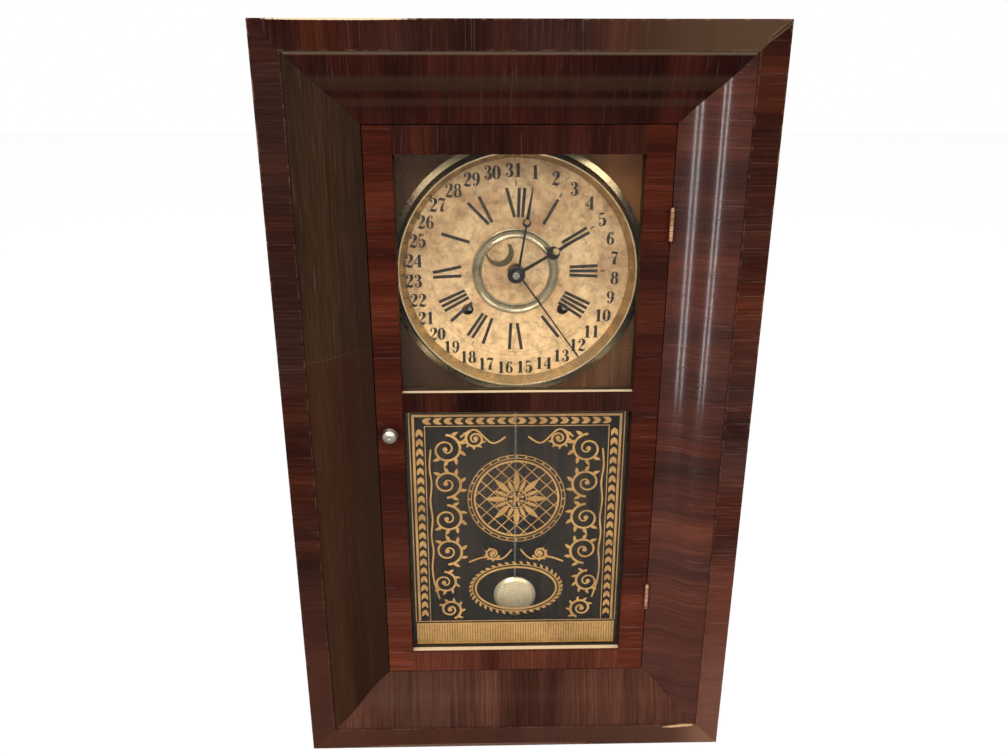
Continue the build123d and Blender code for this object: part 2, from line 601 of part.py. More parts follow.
def make_winding(side_name, centre, phase):
    """The winding arbor with its ratchet, and the great wheel that runs on it, with its click."""
    ratchet_front = GREAT_LAYER - 2.0
    shaft = rod(*centre, WINDING_ARBOR_RADIUS, PLATE_FRONT - 1.0, MOVEMENT_BACK)
    square_end = DIAL_BOARD_FRONT + 1.5
    shaft += rod(*centre, WINDING_ARBOR_RADIUS - 0.1, PLATE_FRONT - 3.0, PLATE_FRONT - 0.5)
    half = WINDING_SQUARE / 2
    shaft += block(centre[0] - half, centre[0] + half, square_end, PLATE_FRONT - 2.0,
                   centre[1] - half, centre[1] + half)
    shaft += ratchet(centre, ratchet_front, ratchet_front + 1.4)
    save(side_name + "_winding_arbor", shaft)
    great = wheel(centre, GREAT_TEETH, GREAT_MODULE, phase, GREAT_LAYER, GREAT_LAYER + GREAT_SHEET, 5, 6.0)
    great -= rod(*centre, WINDING_ARBOR_RADIUS + PIVOT_CLEARANCE, 0, BACK)
    pin = polar(centre, 13.0, 72)
    tip = polar(centre, RATCHET_RADIUS + 0.35, 96)
    along = bearing(pin, tip)
    click = slab([polar(pin, 1.6, along + 90), polar(pin, 1.6, along + 180), polar(pin, 1.6, along - 90),
                  polar(tip, 0.4, along - 90), polar(tip, 0.4, along + 60)], ratchet_front, GREAT_LAYER)
    save(side_name + "_great_wheel", great, click)


def spiral_strip(centre, first, pitch, half_turns, strip, y0, y1):
    """A flat strip wound in half turns about two centres, as a closed outline."""
    outer, inner = [], []
    for k in range(half_turns):
        shift = 0 if k % 2 == 0 else pitch / 2
        radius = first + k * pitch / 2
        sign = 1 if k % 2 == 0 else -1
        middle = (centre[0] + shift, centre[1])
        for points, offset in ((inner, 0.0), (outer, strip)):
            r = radius + offset
            points.append(ThreePointArc((middle[0] + sign * r, middle[1]), (middle[0], middle[1] + sign * r),
                                        (middle[0] - sign * r, middle[1])))
    start = Line(inner[0] @ 0, outer[0] @ 0)
    end = Line(outer[-1] @ 1, inner[-1] @ 1)
    return slab(make_face([start, *outer, end, *inner]), y0, y1)


def make_mainsprings():
    low = GREAT_LAYER + GREAT_SHEET + 1.2
    turns = int((MAINSPRING_RADIUS - WINDING_ARBOR_RADIUS - 1.2) / (MAINSPRING_PITCH / 2))
    springs = []
    for centre in (TIME_GREAT, STRIKE_GREAT):
        springs.append(spiral_strip(centre, WINDING_ARBOR_RADIUS + 0.3, MAINSPRING_PITCH, turns,
                                    MAINSPRING_STRIP, low, low + MAINSPRING_WIDTH))
    save("mainsprings", *springs)


def escape_wheel(centre, y0, y1):
    """Thirty-two hooked teeth that lean into the turn."""
    points = []
    for k in range(ESCAPE_TEETH):
        middle = 360 * k / ESCAPE_TEETH
        points.append(polar(centre, ESCAPE_RADIUS - 2.0, middle))
        points.append(polar(centre, ESCAPE_RADIUS, middle - 2.2))
        points.append(polar(centre, ESCAPE_RADIUS - 2.0, middle + 4.5))
    return slab(points, y0, y1)


def make_time_train():
    second_phase = 0.0
    great_phase = meshed(0.0, SECOND_PINION, TIME_SECOND, GREAT_TEETH, TIME_GREAT)
    make_winding("time", TIME_GREAT, great_phase)
    y0, y1 = SECOND_LAYER, SECOND_LAYER + WHEEL_SHEET
    second = wheel(TIME_SECOND, SECOND_TEETH, SECOND_MODULE, second_phase, y0, y1, 4)
    second += pinion(TIME_SECOND, SECOND_PINION, GREAT_MODULE, 0.0, GREAT_LAYER - 0.8, GREAT_LAYER + 2.4)
    second += arbor(TIME_SECOND)
    save("time_second_wheel", second)

    phase = meshed(second_phase, SECOND_TEETH, TIME_SECOND, CENTRE_TEETH, C)
    centre = wheel(C, CENTRE_TEETH, SECOND_MODULE, phase, y0, y1)
    save("centre_wheel", centre - rod(*C, ARBOR_RADIUS + PIVOT_CLEARANCE, 0, BACK))

    phase = meshed(second_phase, SECOND_TEETH, TIME_SECOND, THIRD_PINION, TIME_THIRD)
    third = pinion(TIME_THIRD, THIRD_PINION, SECOND_MODULE, phase, y0 - 0.4, y1 + 0.4)
    third += wheel(TIME_THIRD, THIRD_TEETH, THIRD_MODULE, 0.0, THIRD_LAYER, THIRD_LAYER + WHEEL_SHEET, 4)
    save("time_third_wheel", third + arbor(TIME_THIRD))

    phase = meshed(0.0, THIRD_TEETH, TIME_THIRD, FOURTH_PINION, TIME_FOURTH)
    fourth = pinion(TIME_FOURTH, FOURTH_PINION, THIRD_MODULE, phase, THIRD_LAYER - 0.4,
                    THIRD_LAYER + WHEEL_SHEET + 0.4)
    fourth += wheel(TIME_FOURTH, FOURTH_TEETH, FOURTH_MODULE, 0.0, FOURTH_LAYER, FOURTH_LAYER + WHEEL_SHEET)
    save("time_fourth_wheel", fourth + arbor(TIME_FOURTH))

    phase = meshed(0.0, FOURTH_TEETH, TIME_FOURTH, ESCAPE_PINION, ESCAPE)
    scape = pinion(ESCAPE, ESCAPE_PINION, FOURTH_MODULE, phase, FOURTH_LAYER - 0.5,
                   FOURTH_LAYER + WHEEL_SHEET + 0.5)
    scape += arbor(ESCAPE, PLATE_FRONT - 3.8)
    scape += escape_wheel(ESCAPE, PLATE_FRONT - 3.6, PLATE_FRONT - 2.6)
    save("escape_wheel", scape)


def make_verge():
    """A bent steel strip over the escape wheel, with the crutch wire that meets the rod."""
    y0, y1 = PLATE_FRONT - 4.4, PLATE_FRONT - 1.8
    clear = 0.7
    reach = 46.0
    inner = ESCAPE_RADIUS + clear + 1.2
    outer = inner + 0.9
    left, right = 90 + reach, 90 - reach
    arch = make_face([
        ThreePointArc(polar(ESCAPE, inner, left), polar(ESCAPE, inner, 90), polar(ESCAPE, inner, right)),
        Line(polar(ESCAPE, inner, right), polar(ESCAPE, outer, right)),
        ThreePointArc(polar(ESCAPE, outer, right), polar(ESCAPE, outer, 90), polar(ESCAPE, outer, left)),
        Line(polar(ESCAPE, outer, left), polar(ESCAPE, inner, left)),
    ])
    strip = slab(arch, y0, y1)
    for angle, lean in ((left, 4.0), (right, 2.0)):
        strip += slab([polar(ESCAPE, outer, angle), polar(ESCAPE, outer, angle + 4.5),
                       polar(ESCAPE, ESCAPE_RADIUS + clear, angle + lean + 1.5),
                       polar(ESCAPE, ESCAPE_RADIUS + clear, angle + lean - 1.5),
                       polar(ESCAPE, inner, angle - 1.0)], y0, y1)
    hub = rod(*VERGE, 2.2, y0 - 1.0, y1)
    saddle = block(-1.1, 1.1, y0, y1, ESCAPE[1] + inner + 0.2, VERGE[1])
    wire_y = y0 - 0.6
    foot = VERGE[1] - CRUTCH_LENGTH
    wire = upright(0, wire_y, 0.55, foot, VERGE[1] - 0.5)
    loop = block(-2.2, 2.2, ROD_PLANE - 2.2, wire_y + 0.5, foot - 0.7, foot + 0.7)
    loop -= block(-ROD_RADIUS - 0.3, ROD_RADIUS + 0.3, ROD_PLANE - 3, ROD_PLANE + ROD_RADIUS + 0.3,
                  foot - 2, foot + 2)
    verge = strip + hub + saddle + wire + loop
    verge -= rod(*VERGE, PIVOT_RADIUS + PIVOT_CLEARANCE, 0, PLATE_FRONT)
    save("verge", verge)


def make_pendulum():
    top = DIAL_HEIGHT - PENDULUM_DROP
    foot = BOB_HEIGHT - BOB_RADIUS - 16.0
    spring = block(-0.12, 0.12, ROD_PLANE - 1.6, ROD_PLANE + 1.6, top - 14.0, top + 1.5)
    wire = upright(0, ROD_PLANE, ROD_RADIUS, foot, top - 12.0)
    save("pendulum_rod", spring + wire)
    profile = []
    for step in range(BOB_STEPS + 1):
        angle = radians(90 * step / BOB_STEPS)
        profile.append((BOB_RADIUS * sin(angle), ROD_PLANE - 0.6 - (BOB_THICKNESS / 2 - 0.6) * cos(angle)))
    profile += [(r, 2 * ROD_PLANE - y) for r, y in reversed(profile)]
    bob = turned(profile, 0, BOB_HEIGHT)
    bob -= upright(0, ROD_PLANE, ROD_RADIUS + PIVOT_CLEARANCE, foot, BOB_HEIGHT + BOB_RADIUS + 1)
    save("pendulum_bob", bob)
    nut_top = BOB_HEIGHT - BOB_RADIUS - 0.2
    nut = Pos(0, ROD_PLANE, nut_top - 2.0) * extrude(RegularPolygon(NUT_RADIUS, 6), amount=2.0)
    nut += upright(0, ROD_PLANE, NUT_RADIUS * 0.6, nut_top - 5.0, nut_top - 2.0)
    nut -= upright(0, ROD_PLANE, ROD_RADIUS + PIVOT_CLEARANCE, foot - 5, nut_top + 1)
    save("rating_nut", nut)


def clockwise_face(face, angle):
    """A hand drawn pointing up from the origin, turned to its clockwise angle on the dial."""
    return Pos(0, DIAL_HEIGHT) * Rot(0, 0, -angle) * face


def hand_outline(root, waist, moon_at, moon_radius, eye_at, eye_radius, tip_width, length):
    """A shaft that narrows to a pierced round, then a blade that tapers to the tip."""
    shaft = make_face(Polyline((-root, 0), (root, 0), (waist, moon_at), (-waist, moon_at), close=True))
    blade = make_face(Polyline((-tip_width, moon_at), (tip_width, moon_at), (0.35, length),
                               (-0.35, length), close=True))
    return shaft + blade + Pos(0, moon_at) * Circle(moon_radius) - Pos(0, eye_at) * Circle(eye_radius)


def pipe(radius_in, radius_out, y0, y1):
    return rod(*C, radius_out, y0, y1) - rod(*C, radius_in, y0 - 1, y1 + 1)


def make_motion_work():
    centre_radius = ARBOR_RADIUS
    hour_in = centre_radius + PIPE_CLEARANCE
    hour_out = hour_in + PIPE_WALL
    calendar_in = hour_out + PIPE_CLEARANCE
    calendar_out = calendar_in + PIPE_WALL
    minute_y, hour_y, calendar_y = -20.6, -17.0, -12.6
    nut_front = -24.6

    shaft = rod(*C, centre_radius, minute_y - HAND_SHEET, PLATE_FRONT - 0.5)
    shaft += rod(*C, PIVOT_RADIUS, nut_front + 0.5, MOVEMENT_BACK)
    shaft += rod(*C, ARBOR_RADIUS, PLATE_FRONT + PLATE_THICKNESS + 0.2, PLATE_BACK - 0.2)
    shaft += pinion(C, CANNON_TEETH, CANNON_MODULE, 0.0, PLATE_FRONT - 3.2, PLATE_FRONT - 0.6)
    save("centre_arbor", shaft)

    phase = meshed(0.0, CANNON_TEETH, C, MINUTE_WHEEL_TEETH, MINUTE_STUD)
    wheel_y = PLATE_FRONT - 2.6
    minute = wheel(MINUTE_STUD, MINUTE_WHEEL_TEETH, CANNON_MODULE, phase, wheel_y, wheel_y + WHEEL_SHEET)
    minute += pinion(MINUTE_STUD, MINUTE_PINION, HOUR_MODULE, 0.0, PLATE_FRONT - 6.0, wheel_y)
    save("minute_wheel", minute - rod(*MINUTE_STUD, PIVOT_RADIUS + PIVOT_CLEARANCE, 0, BACK))

    phase = meshed(0.0, MINUTE_PINION, MINUTE_STUD, HOUR_TEETH, C)
    hour_wheel_y = PLATE_FRONT - 5.4
    hour = wheel(C, HOUR_TEETH, HOUR_MODULE, phase, hour_wheel_y, hour_wheel_y + WHEEL_SHEET)
    hour += pinion(C, DRIVER_PINION, DRIVER_MODULE, 0.0, hour_wheel_y - 2.4, hour_wheel_y)
    hour += rod(*C, hour_out, hour_y - HAND_SHEET, hour_wheel_y)
    save("hour_wheel", hour - rod(*C, hour_in, hour_y - 5, BACK))

    phase = meshed(0.0, DRIVER_PINION, C, DRIVER_TEETH, DRIVER_STUD)
    driver_y = hour_wheel_y - 1.8
    driver = wheel(DRIVER_STUD, DRIVER_TEETH, DRIVER_MODULE, phase, driver_y, driver_y + WHEEL_SHEET)
    pin = polar(DRIVER_STUD, 8.2, 90)
    driver += rod(*pin, 0.7, driver_y - 3.2, driver_y)
    save("calendar_driver", driver - rod(*DRIVER_STUD, PIVOT_RADIUS + PIVOT_CLEARANCE, -5, BACK))

    calendar_wheel_y = driver_y - 2.6
    points = []
    for k in range(CALENDAR_TEETH):
        middle = 360 * k / CALENDAR_TEETH
        points.append(polar(C, CALENDAR_RADIUS - 2.2, middle))
        points.append(polar(C, CALENDAR_RADIUS, middle + 180 / CALENDAR_TEETH))
    calendar = slab(points, calendar_wheel_y, calendar_wheel_y + WHEEL_SHEET)
    calendar += rod(*C, calendar_out, calendar_y - HAND_SHEET, calendar_wheel_y)
    save("calendar_wheel", calendar - rod(*C, calendar_in, calendar_y - 5, BACK))

    minute_face = hand_outline(1.15, 0.75, 43.9, 3.5, 44.8, 2.1, 1.7, MINUTE_LENGTH) + Circle(6.2)
    hour_face = hand_outline(1.6, 1.1, 34.4, 5.6, 36.9, 2.9, 1.9, HOUR_LENGTH) + Circle(4.6)
    calendar_face = (make_face(Polyline((-0.75, 0), (0.75, 0), (0.5, CALENDAR_LENGTH - 8), (0.9, CALENDAR_LENGTH - 4),
                                        (0.3, CALENDAR_LENGTH), (-0.3, CALENDAR_LENGTH),
                                        (-0.9, CALENDAR_LENGTH - 4), (-0.5, CALENDAR_LENGTH - 8), close=True))
                     + Circle(calendar_out + 1.2))
    hands = (("minute_hand", minute_face, MINUTE_ANGLE, minute_y, centre_radius, 6.2),
             ("hour_hand", hour_face, HOUR_ANGLE, hour_y, hour_out, 4.6),
             ("calendar_hand", calendar_face, CALENDAR_ANGLE, calendar_y, calendar_out, calendar_out + 1.2))
    for name, face, angle, y, bore, boss in hands:
        hand = slab(clockwise_face(face, angle), y - HAND_SHEET, y)
        if name != "calendar_hand":
            hand += rod(*C, boss - 0.8, y - HAND_SHEET, y + 1.2)
        save(name, hand - rod(*C, bore, y - 5, y + 5))

    seat = minute_y - HAND_SHEET
    nut = turned([(PIVOT_RADIUS, seat), (4.6, seat), (4.4, seat - 0.8), (3.6, seat - 1.1),
                  (3.5, seat - 2.2), (2.9, nut_front + 0.3), (2.2, nut_front), (PIVOT_RADIUS, nut_front)], *C)
    save("hand_nut", nut)


def make_strike_train():
    great_phase = meshed(0.0, SECOND_PINION, STRIKE_SECOND, GREAT_TEETH, STRIKE_GREAT)
    make_winding("strike", STRIKE_GREAT, great_phase)
    y0, y1 = SECOND_LAYER, SECOND_LAYER + WHEEL_SHEET
    second = wheel(STRIKE_SECOND, SECOND_TEETH, SECOND_MODULE, 0.0, y0, y1, 4)
    second += pinion(STRIKE_SECOND, SECOND_PINION, GREAT_MODULE, 0.0, GREAT_LAYER - 0.8, GREAT_LAYER + 2.4)
    for k in range(8):
        pin = [polar(polar(STRIKE_SECOND, 15.4, 45 * k), 0.7, 90 * corner) for corner in range(4)]
        second += slab(pin, y1 - 0.2, y1 + 2.0)
    save("strike_second_wheel", second + arbor(STRIKE_SECOND))

    phase = meshed(0.0, SECOND_TEETH, STRIKE_SECOND, THIRD_PINION, STRIKE_THIRD)
    third = pinion(STRIKE_THIRD, THIRD_PINION, SECOND_MODULE, phase, y0 - 0.4, y1 + 0.4)
    third += wheel(STRIKE_THIRD, STRIKE_THIRD_TEETH, THIRD_MODULE, 0.0, THIRD_LAYER, THIRD_LAYER + WHEEL_SHEET)
    save("strike_third_wheel", third + arbor(STRIKE_THIRD))

    phase = meshed(0.0, STRIKE_THIRD_TEETH, STRIKE_THIRD, FLY_PINION, FLY)
    fly = pinion(FLY, FLY_PINION, THIRD_MODULE, phase, THIRD_LAYER - 0.4, THIRD_LAYER + WHEEL_SHEET + 0.4)
    fly += arbor(FLY)
    fly += block(FLY[0] - 7.4, FLY[0] + 7.4, 20.0, 31.0, FLY[1] - 0.3, FLY[1] + 0.3)
    save("fly", fly)


def least_gap(path, radius):
    """The smallest distance between turns of a wire, measured on points along its line."""
    count = int(path.length / 2)
    points = [path @ (k / count) for k in range(count + 1)]
    apart = int(6 * radius / 2) + 1
    gaps = []
    for k in range(count + 1):
        for other in points[k + apart:]:
            gaps.append((points[k] - other).length)
    return min(gaps) - 2 * radius


def make_hammer_and_gong():
    strike_y = 31.0
    body = arbor(HAMMER)
    body += arbor(HAMMER, strike_y - 2.0, strike_y + 2.0, 2.4)
    pin_circle = polar(HAMMER, 5.6, bearing(HAMMER, STRIKE_SECOND) - 24)
    tail_y = SECOND_LAYER + WHEEL_SHEET + 0.5
    body += arbor(HAMMER, tail_y - 0.2, tail_y + 1.4, 2.4)
    along = bearing(HAMMER, pin_circle)
    body += slab([polar(HAMMER, 0.7, along + 90), polar(HAMMER, 0.7, along - 90),
                  polar(pin_circle, 0.5, along - 90), polar(pin_circle, 0.5, along + 90)], tail_y, tail_y + 1.0)
    block_half = 5.0
    wire_x = block_half + 4.2
    bend = (wire_x, DIAL_BOARD_BASE + 16.0)
    path = FilletPolyline((HAMMER[0], strike_y, HAMMER[1]), (HAMMER[0], strike_y, HAMMER[1] - 14.0),
                          (bend[0], strike_y, bend[1]), (wire_x, strike_y, GONG_HEIGHT + 3.0), radius=8.0)
    body += sweep(Plane(path @ 0, z_dir=path % 0) * RegularPolygon(HAMMER_WIRE, 6), path=path)
    head = Pos(wire_x - 0.4, strike_y, GONG_HEIGHT) * Rot(0, 90, 0) * Cylinder(3.6, 6.4)
    save("strike_hammer", body + head)

    block_y0, block_y1 = strike_y - 2.6, GONG_PLANE + 3.0
    stand = block(-block_half, block_half, block_y0, block_y1, GONG_HEIGHT - 5.0, GONG_HEIGHT + 5.0)
    stand += rod(0, GONG_HEIGHT, 4.2, block_y1, INSIDE_BACK - 3.0)
    base = rod(0, GONG_HEIGHT, 15.0, INSIDE_BACK - 3.0, INSIDE_BACK)
    save("gong_stand", stand + base)

    edges = [Line((-block_half, GONG_HEIGHT), (-block_half - 2.0, GONG_HEIGHT))]
    bend = GONG_FIRST_RADIUS - block_half - 2.0
    corner = (-GONG_FIRST_RADIUS, GONG_HEIGHT - bend)
    half = bend * sin(radians(45))
    edges.append(ThreePointArc((-block_half - 2.0, GONG_HEIGHT),
                               (-block_half - 2.0 - half, GONG_HEIGHT - bend + half), corner))
    left = corner[0]
    for k in range(GONG_HALF_TURNS):
        radius = GONG_FIRST_RADIUS + k * GONG_PITCH / 2
        sign = 1 if k % 2 == 0 else -1
        middle = left + sign * radius
        edges.append(ThreePointArc((left, corner[1]), (middle, corner[1] - sign * radius),
                                   (middle + sign * radius, corner[1])))
        left = middle + sign * radius
    plane = Plane((0, GONG_PLANE, 0), x_dir=(1, 0, 0), z_dir=(0, -1, 0))
    path = plane * Wire(edges)
    start = Plane(path @ 0, z_dir=path % 0)
    gong = sweep(start * RegularPolygon(GONG_WIRE, 6), path=path)
    print("gong: least gap between turns", round(least_gap(path, GONG_WIRE), 2),
          "volume", round(gong.volume), "section times length",
          round(RegularPolygon(GONG_WIRE, 6).area * path.length))
    save("gong_coil", gong)


make_case()
make_door()
make_hinges()
make_knob()
make_dial()
make_plates()
make_time_train()
make_verge()
make_pendulum()
make_motion_work()
make_strike_train()
make_mainsprings()
make_hammer_and_gong()
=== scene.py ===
from math import cos, pi, radians, sin, sqrt

import bmesh
import bpy
from mathutils import Euler, Matrix, Vector


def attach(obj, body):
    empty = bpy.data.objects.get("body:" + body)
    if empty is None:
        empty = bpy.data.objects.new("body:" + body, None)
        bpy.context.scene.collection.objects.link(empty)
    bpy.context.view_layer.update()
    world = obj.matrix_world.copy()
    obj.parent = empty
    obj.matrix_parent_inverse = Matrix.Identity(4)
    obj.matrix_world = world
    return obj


# Metres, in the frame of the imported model: x right, y away from the viewer, z up
MM = 0.001
# Case: half its width and height, since its veneer is laid out from its middle
HALF_WIDTH = 196.85 * MM
HALF_HEIGHT = 330.2 * MM
# Dial: its centre (x, z), the front of its plate, and how far printing stands off the plate
DIAL_CENTRE = (-1.5 * MM, 462.5 * MM)
DIAL_FRONT = -7.8 * MM
INK_LIFT = 0.06 * MM
# Ring of days: a little off the dial's centre, with the first day's angle clockwise from the top
DAYS = 31
NUMERAL_RADIUS = 85.5 * MM
NUMERAL_SHIFT = (-1.0 * MM, -1.2 * MM)
NUMERAL_HEIGHT = 11.0 * MM
NUMERAL_STEP = 360 / DAYS
FIRST_NUMERAL = 11.0
DIGIT_WEIGHT = 1.5
DIGIT_WIDTH = 0.62
DIGIT_PITCH = 0.66
BOWL_STEPS = 24
# Hour numerals: radii of their feet and heads, widths of their letters in mm, and their flare outwards
ROMANS = ("XII", "I", "II", "III", "IIII", "V", "VI", "VII", "VIII", "IX", "X", "XI")
ROMAN_INNER = 45.8 * MM
ROMAN_OUTER = 69.8 * MM
LETTER_WIDTH = {"I": 4.0, "V": 8.6, "X": 8.8}
FLARE = {ROMAN_INNER: 0.86, ROMAN_OUTER: 1.14}
TRACK_RADII = (71.8 * MM, 75.6 * MM)
# Crescent in the dial: centre (x, z) and radius in mm of both edges, and start and span in degrees
MOON_OUTSIDE = (-14.7, 478.1, 11.7)
MOON_INSIDE = (-16.4, 480.4, 9.3)
MOON_ARC = (-222, 264)
MOON_STEPS = 40
# Printed glass of the door: its back face, half its width, its foot and head, and the bob behind it
TABLET_BACK = -27.95 * MM
TABLET_LIFT = 0.12 * MM
TABLET_X = 98.85 * MM
TABLET_Z = (96.5 * MM, 346.0 * MM)
BOB_Z = 132 * MM
# Hinges: the height of a joint between knuckles and half a knuckle's length
KNUCKLE_JOINT = 495.2 * MM
HALF_KNUCKLE = 2.54 * MM
# Studio: half the floor's side, and the camera's place, lens in mm and tilt, turn and roll in degrees
FLOOR_HALF = 6.0
CAMERA_PLACE = (-0.0292, -0.7494, 0.6484)
CAMERA_LENS = 32.05
CAMERA_TILT, CAMERA_TURN, CAMERA_ROLL = 69.15, -1.40, 0.09
WHITE = (1, 1, 1, 1)
# Flat printed shapes step towards the viewer by this much, over and over
DEPTH_STEP = 0.0012 * MM
DEPTH_LEVELS = 60
# The Mix node's sockets for colours
MIX_FIRST, MIX_SECOND, MIX_RESULT = 6, 7, 2

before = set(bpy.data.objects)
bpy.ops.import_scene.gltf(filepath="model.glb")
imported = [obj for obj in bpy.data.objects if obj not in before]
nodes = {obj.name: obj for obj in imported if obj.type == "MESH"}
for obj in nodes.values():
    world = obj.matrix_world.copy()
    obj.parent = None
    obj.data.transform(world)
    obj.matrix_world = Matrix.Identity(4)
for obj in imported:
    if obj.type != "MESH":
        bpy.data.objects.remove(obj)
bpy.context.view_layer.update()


# Materials
class Surface:
    """A Principled material, and short calls for the nodes that feed it."""

    def __init__(self, name, rough=0.5, metal=0.0, gloss=0.5, coat=0.0, coat_rough=0.1):
        self.material = bpy.data.materials.new(name)
        self.material.use_nodes = True
        self.tree = self.material.node_tree
        self.shader = self.tree.nodes["Principled BSDF"]
        self.shader.inputs["Roughness"].default_value = rough
        self.shader.inputs["Metallic"].default_value = metal
        self.shader.inputs["Specular IOR Level"].default_value = gloss
        self.shader.inputs["Coat Weight"].default_value = coat
        self.shader.inputs["Coat Roughness"].default_value = coat_rough

    def add(self, kind, **settings):
        """A new node, with its settings."""
        node = self.tree.nodes.new("ShaderNode" + kind)
        for key, value in settings.items():
            setattr(node, key, value)
        return node

    def feed(self, socket, value):
        """Links a socket to another, or sets its value."""
        if isinstance(value, bpy.types.NodeSocket):
            self.tree.links.new(value, socket)
        elif isinstance(value, tuple) and len(value) == 3 and socket.type == "RGBA":
            socket.default_value = (*value, 1.0)
        else:
            socket.default_value = value

    def place(self, scale=(1, 1, 1), shift=(0, 0, 0)):
        """The piece's own coordinates in metres, stretched and shifted."""
        mapping = self.add("Mapping")
        self.feed(mapping.inputs["Vector"], self.add("TexCoord").outputs["Object"])
        mapping.inputs["Scale"].default_value = scale
        mapping.inputs["Location"].default_value = shift
        return mapping.outputs["Vector"]

    def noise(self, where, detail=4.0, rough=0.55, warp=0.0):
        """Fractal noise between 0 and 1, with features one unit apart."""
        node = self.add("TexNoise")
        self.feed(node.inputs["Vector"], where)
        node.inputs["Scale"].default_value = 1.0
        node.inputs["Detail"].default_value = detail
        node.inputs["Roughness"].default_value = rough
        node.inputs["Distortion"].default_value = warp
        return node.outputs["Fac"]

    def ramp(self, value, *stops):
        """A colour that runs through stops of (place, colour or grey)."""
        node = self.add("ValToRGB")
        self.feed(node.inputs["Fac"], value)
        points = node.color_ramp.elements
        while len(points) < len(stops):
            points.new(0.5)
        for point, (at, colour) in zip(points, stops):
            point.position = at
            point.color = (*colour, 1.0) if isinstance(colour, tuple) else (colour, colour, colour, 1.0)
        return node.outputs["Color"]

    def mix(self, share, first, second, mode="MIX"):
        node = self.add("Mix", data_type="RGBA", blend_type=mode)
        self.feed(node.inputs["Factor"], share)
        self.feed(node.inputs[MIX_FIRST], first)
        self.feed(node.inputs[MIX_SECOND], second)
        return node.outputs[MIX_RESULT]

    def calc(self, kind, first, second=0.0, clamp=False):
        node = self.add("Math", operation=kind, use_clamp=clamp)
        self.feed(node.inputs[0], first)
        self.feed(node.inputs[1], second)
        return node.outputs[0]

    def part(self, vector, axis):
        node = self.add("SeparateXYZ")
        self.feed(node.inputs[0], vector)
        return node.outputs[axis]

    def band(self, value, start, end, low=0.0, high=1.0):
        """A value that runs smoothly from low to high while the input runs from start to end."""
        node = self.add("MapRange", interpolation_type="SMOOTHSTEP")
        for socket, number in zip(node.inputs, (value, start, end, low, high)):
            self.feed(socket, number)
        return node.outputs[0]

    def product(self, first, second):
        return self.calc("MULTIPLY", first, second)

    def paint(self, colour):
        self.feed(self.shader.inputs["Base Color"], colour)

    def overpaint(self, share, colour, mode="MIX"):
        """Mixes a colour into the one that the surface has."""
        below = self.shader.inputs["Base Color"].links[0].from_socket
        self.paint(self.mix(share, below, colour, mode))

    def show(self, first, second, share):
        """Puts a mix of two shaders on the surface in place of its own."""
        chosen = self.add("MixShader")
        self.feed(chosen.inputs[0], share)
        self.feed(chosen.inputs[1], first.outputs[0])
        self.feed(chosen.inputs[2], second.outputs[0])
        output = next(node for node in self.tree.nodes if node.type == "OUTPUT_MATERIAL")
        self.feed(output.inputs["Surface"], chosen.outputs[0])

    def roughen(self, value):
        self.feed(self.shader.inputs["Roughness"], value)

    def emboss(self, height, strength=0.5, depth=0.2 * MM, round_edge=0.0):
        bump = self.add("Bump")
        bump.inputs["Strength"].default_value = strength
        bump.inputs["Distance"].default_value = depth
        self.feed(bump.inputs["Height"], height)
        if round_edge:
            bevel = self.add("Bevel", samples=4)
            bevel.inputs["Radius"].default_value = round_edge
            self.feed(bump.inputs["Normal"], bevel.outputs["Normal"])
        self.feed(self.shader.inputs["Normal"], bump.outputs["Normal"])
        if self.shader.inputs["Coat Weight"].default_value > 0:
            self.feed(self.shader.inputs["Coat Normal"], bump.outputs["Normal"])


def stretched(rows, along, across):
    """A scale for each axis: rows names the axes across the fibres, such as "z" or "xy"."""
    return tuple(across if axis in rows else along for axis in "xyz")


def veneer_layers(wood, grain, dark, middle, light, haze, haze_share, shift):
    """The colour and the height of polished veneer. grain names the axes that lie across its fibres."""
    figure = wood.noise(wood.place(stretched(grain, 2.0, 20.0), shift=shift), 5, 0.55, 0.6)
    fibre = wood.noise(wood.place(stretched(grain, 12.0, 640.0), shift=shift), 6, 0.68)
    pores = wood.noise(wood.place(stretched(grain, 45.0, 1500.0), shift=shift), 3, 0.5)
    scratch = wood.noise(wood.place(stretched(grain, 22.0, 1100.0), shift=(7, 3, 5)), 2, 0.4)
    clouds = wood.noise(wood.place((7, 7, 7), shift=shift), 4, 0.55, 0.5)
    colour = wood.ramp(figure, (0.32, dark), (0.50, middle), (0.68, light))
    colour = wood.mix(wood.product(wood.band(clouds, 0.40, 0.66), haze_share), colour, haze)
    colour = wood.mix(0.8, colour, wood.ramp(fibre, (0.34, 0.5), (0.50, 0.95), (0.66, 1.45)), "MULTIPLY")
    pits = wood.band(pores, 0.60, 0.72)
    colour = wood.mix(wood.product(pits, 0.6), colour, tuple(c * 0.35 for c in dark))
    colour = wood.mix(wood.band(scratch, 0.64, 0.74, 0.0, 0.12), colour, (0.2, 0.13, 0.11))
    return colour, wood.calc("SUBTRACT", wood.product(fibre, 0.7), pits)


def veneer(name, grain, dark, middle, light, haze=(0.1, 0.085, 0.06), haze_share=0.2, rough=0.42,
           gloss=0.03, coat=0.0, shift=(0, 0, 0), overlay=None):
    """Polished veneer. overlay takes the material and its colour and returns the colour with more on it:
    real marks, and painted light and shade on some pieces.
    """
    wood = Surface(name, rough=rough, gloss=gloss, coat=coat, coat_rough=0.13)
    colour, height = veneer_layers(wood, grain, dark, middle, light, haze, haze_share, shift)
    wood.paint(overlay(wood, colour) if overlay else colour)
    wood.roughen(wood.band(height, 0.1, 0.6, rough * 1.2, rough * 0.8))
    wood.emboss(height, 0.4, 0.12 * MM, 0.5 * MM)
    return wood


def stripe(wood, axis, start, full, fade, end):
    """A share that is one between two places along an axis, in mm, and falls off on both sides."""
    at = wood.part(wood.place(), axis)
    return wood.product(wood.band(at, start * MM, full * MM), wood.band(at, end * MM, fade * MM))


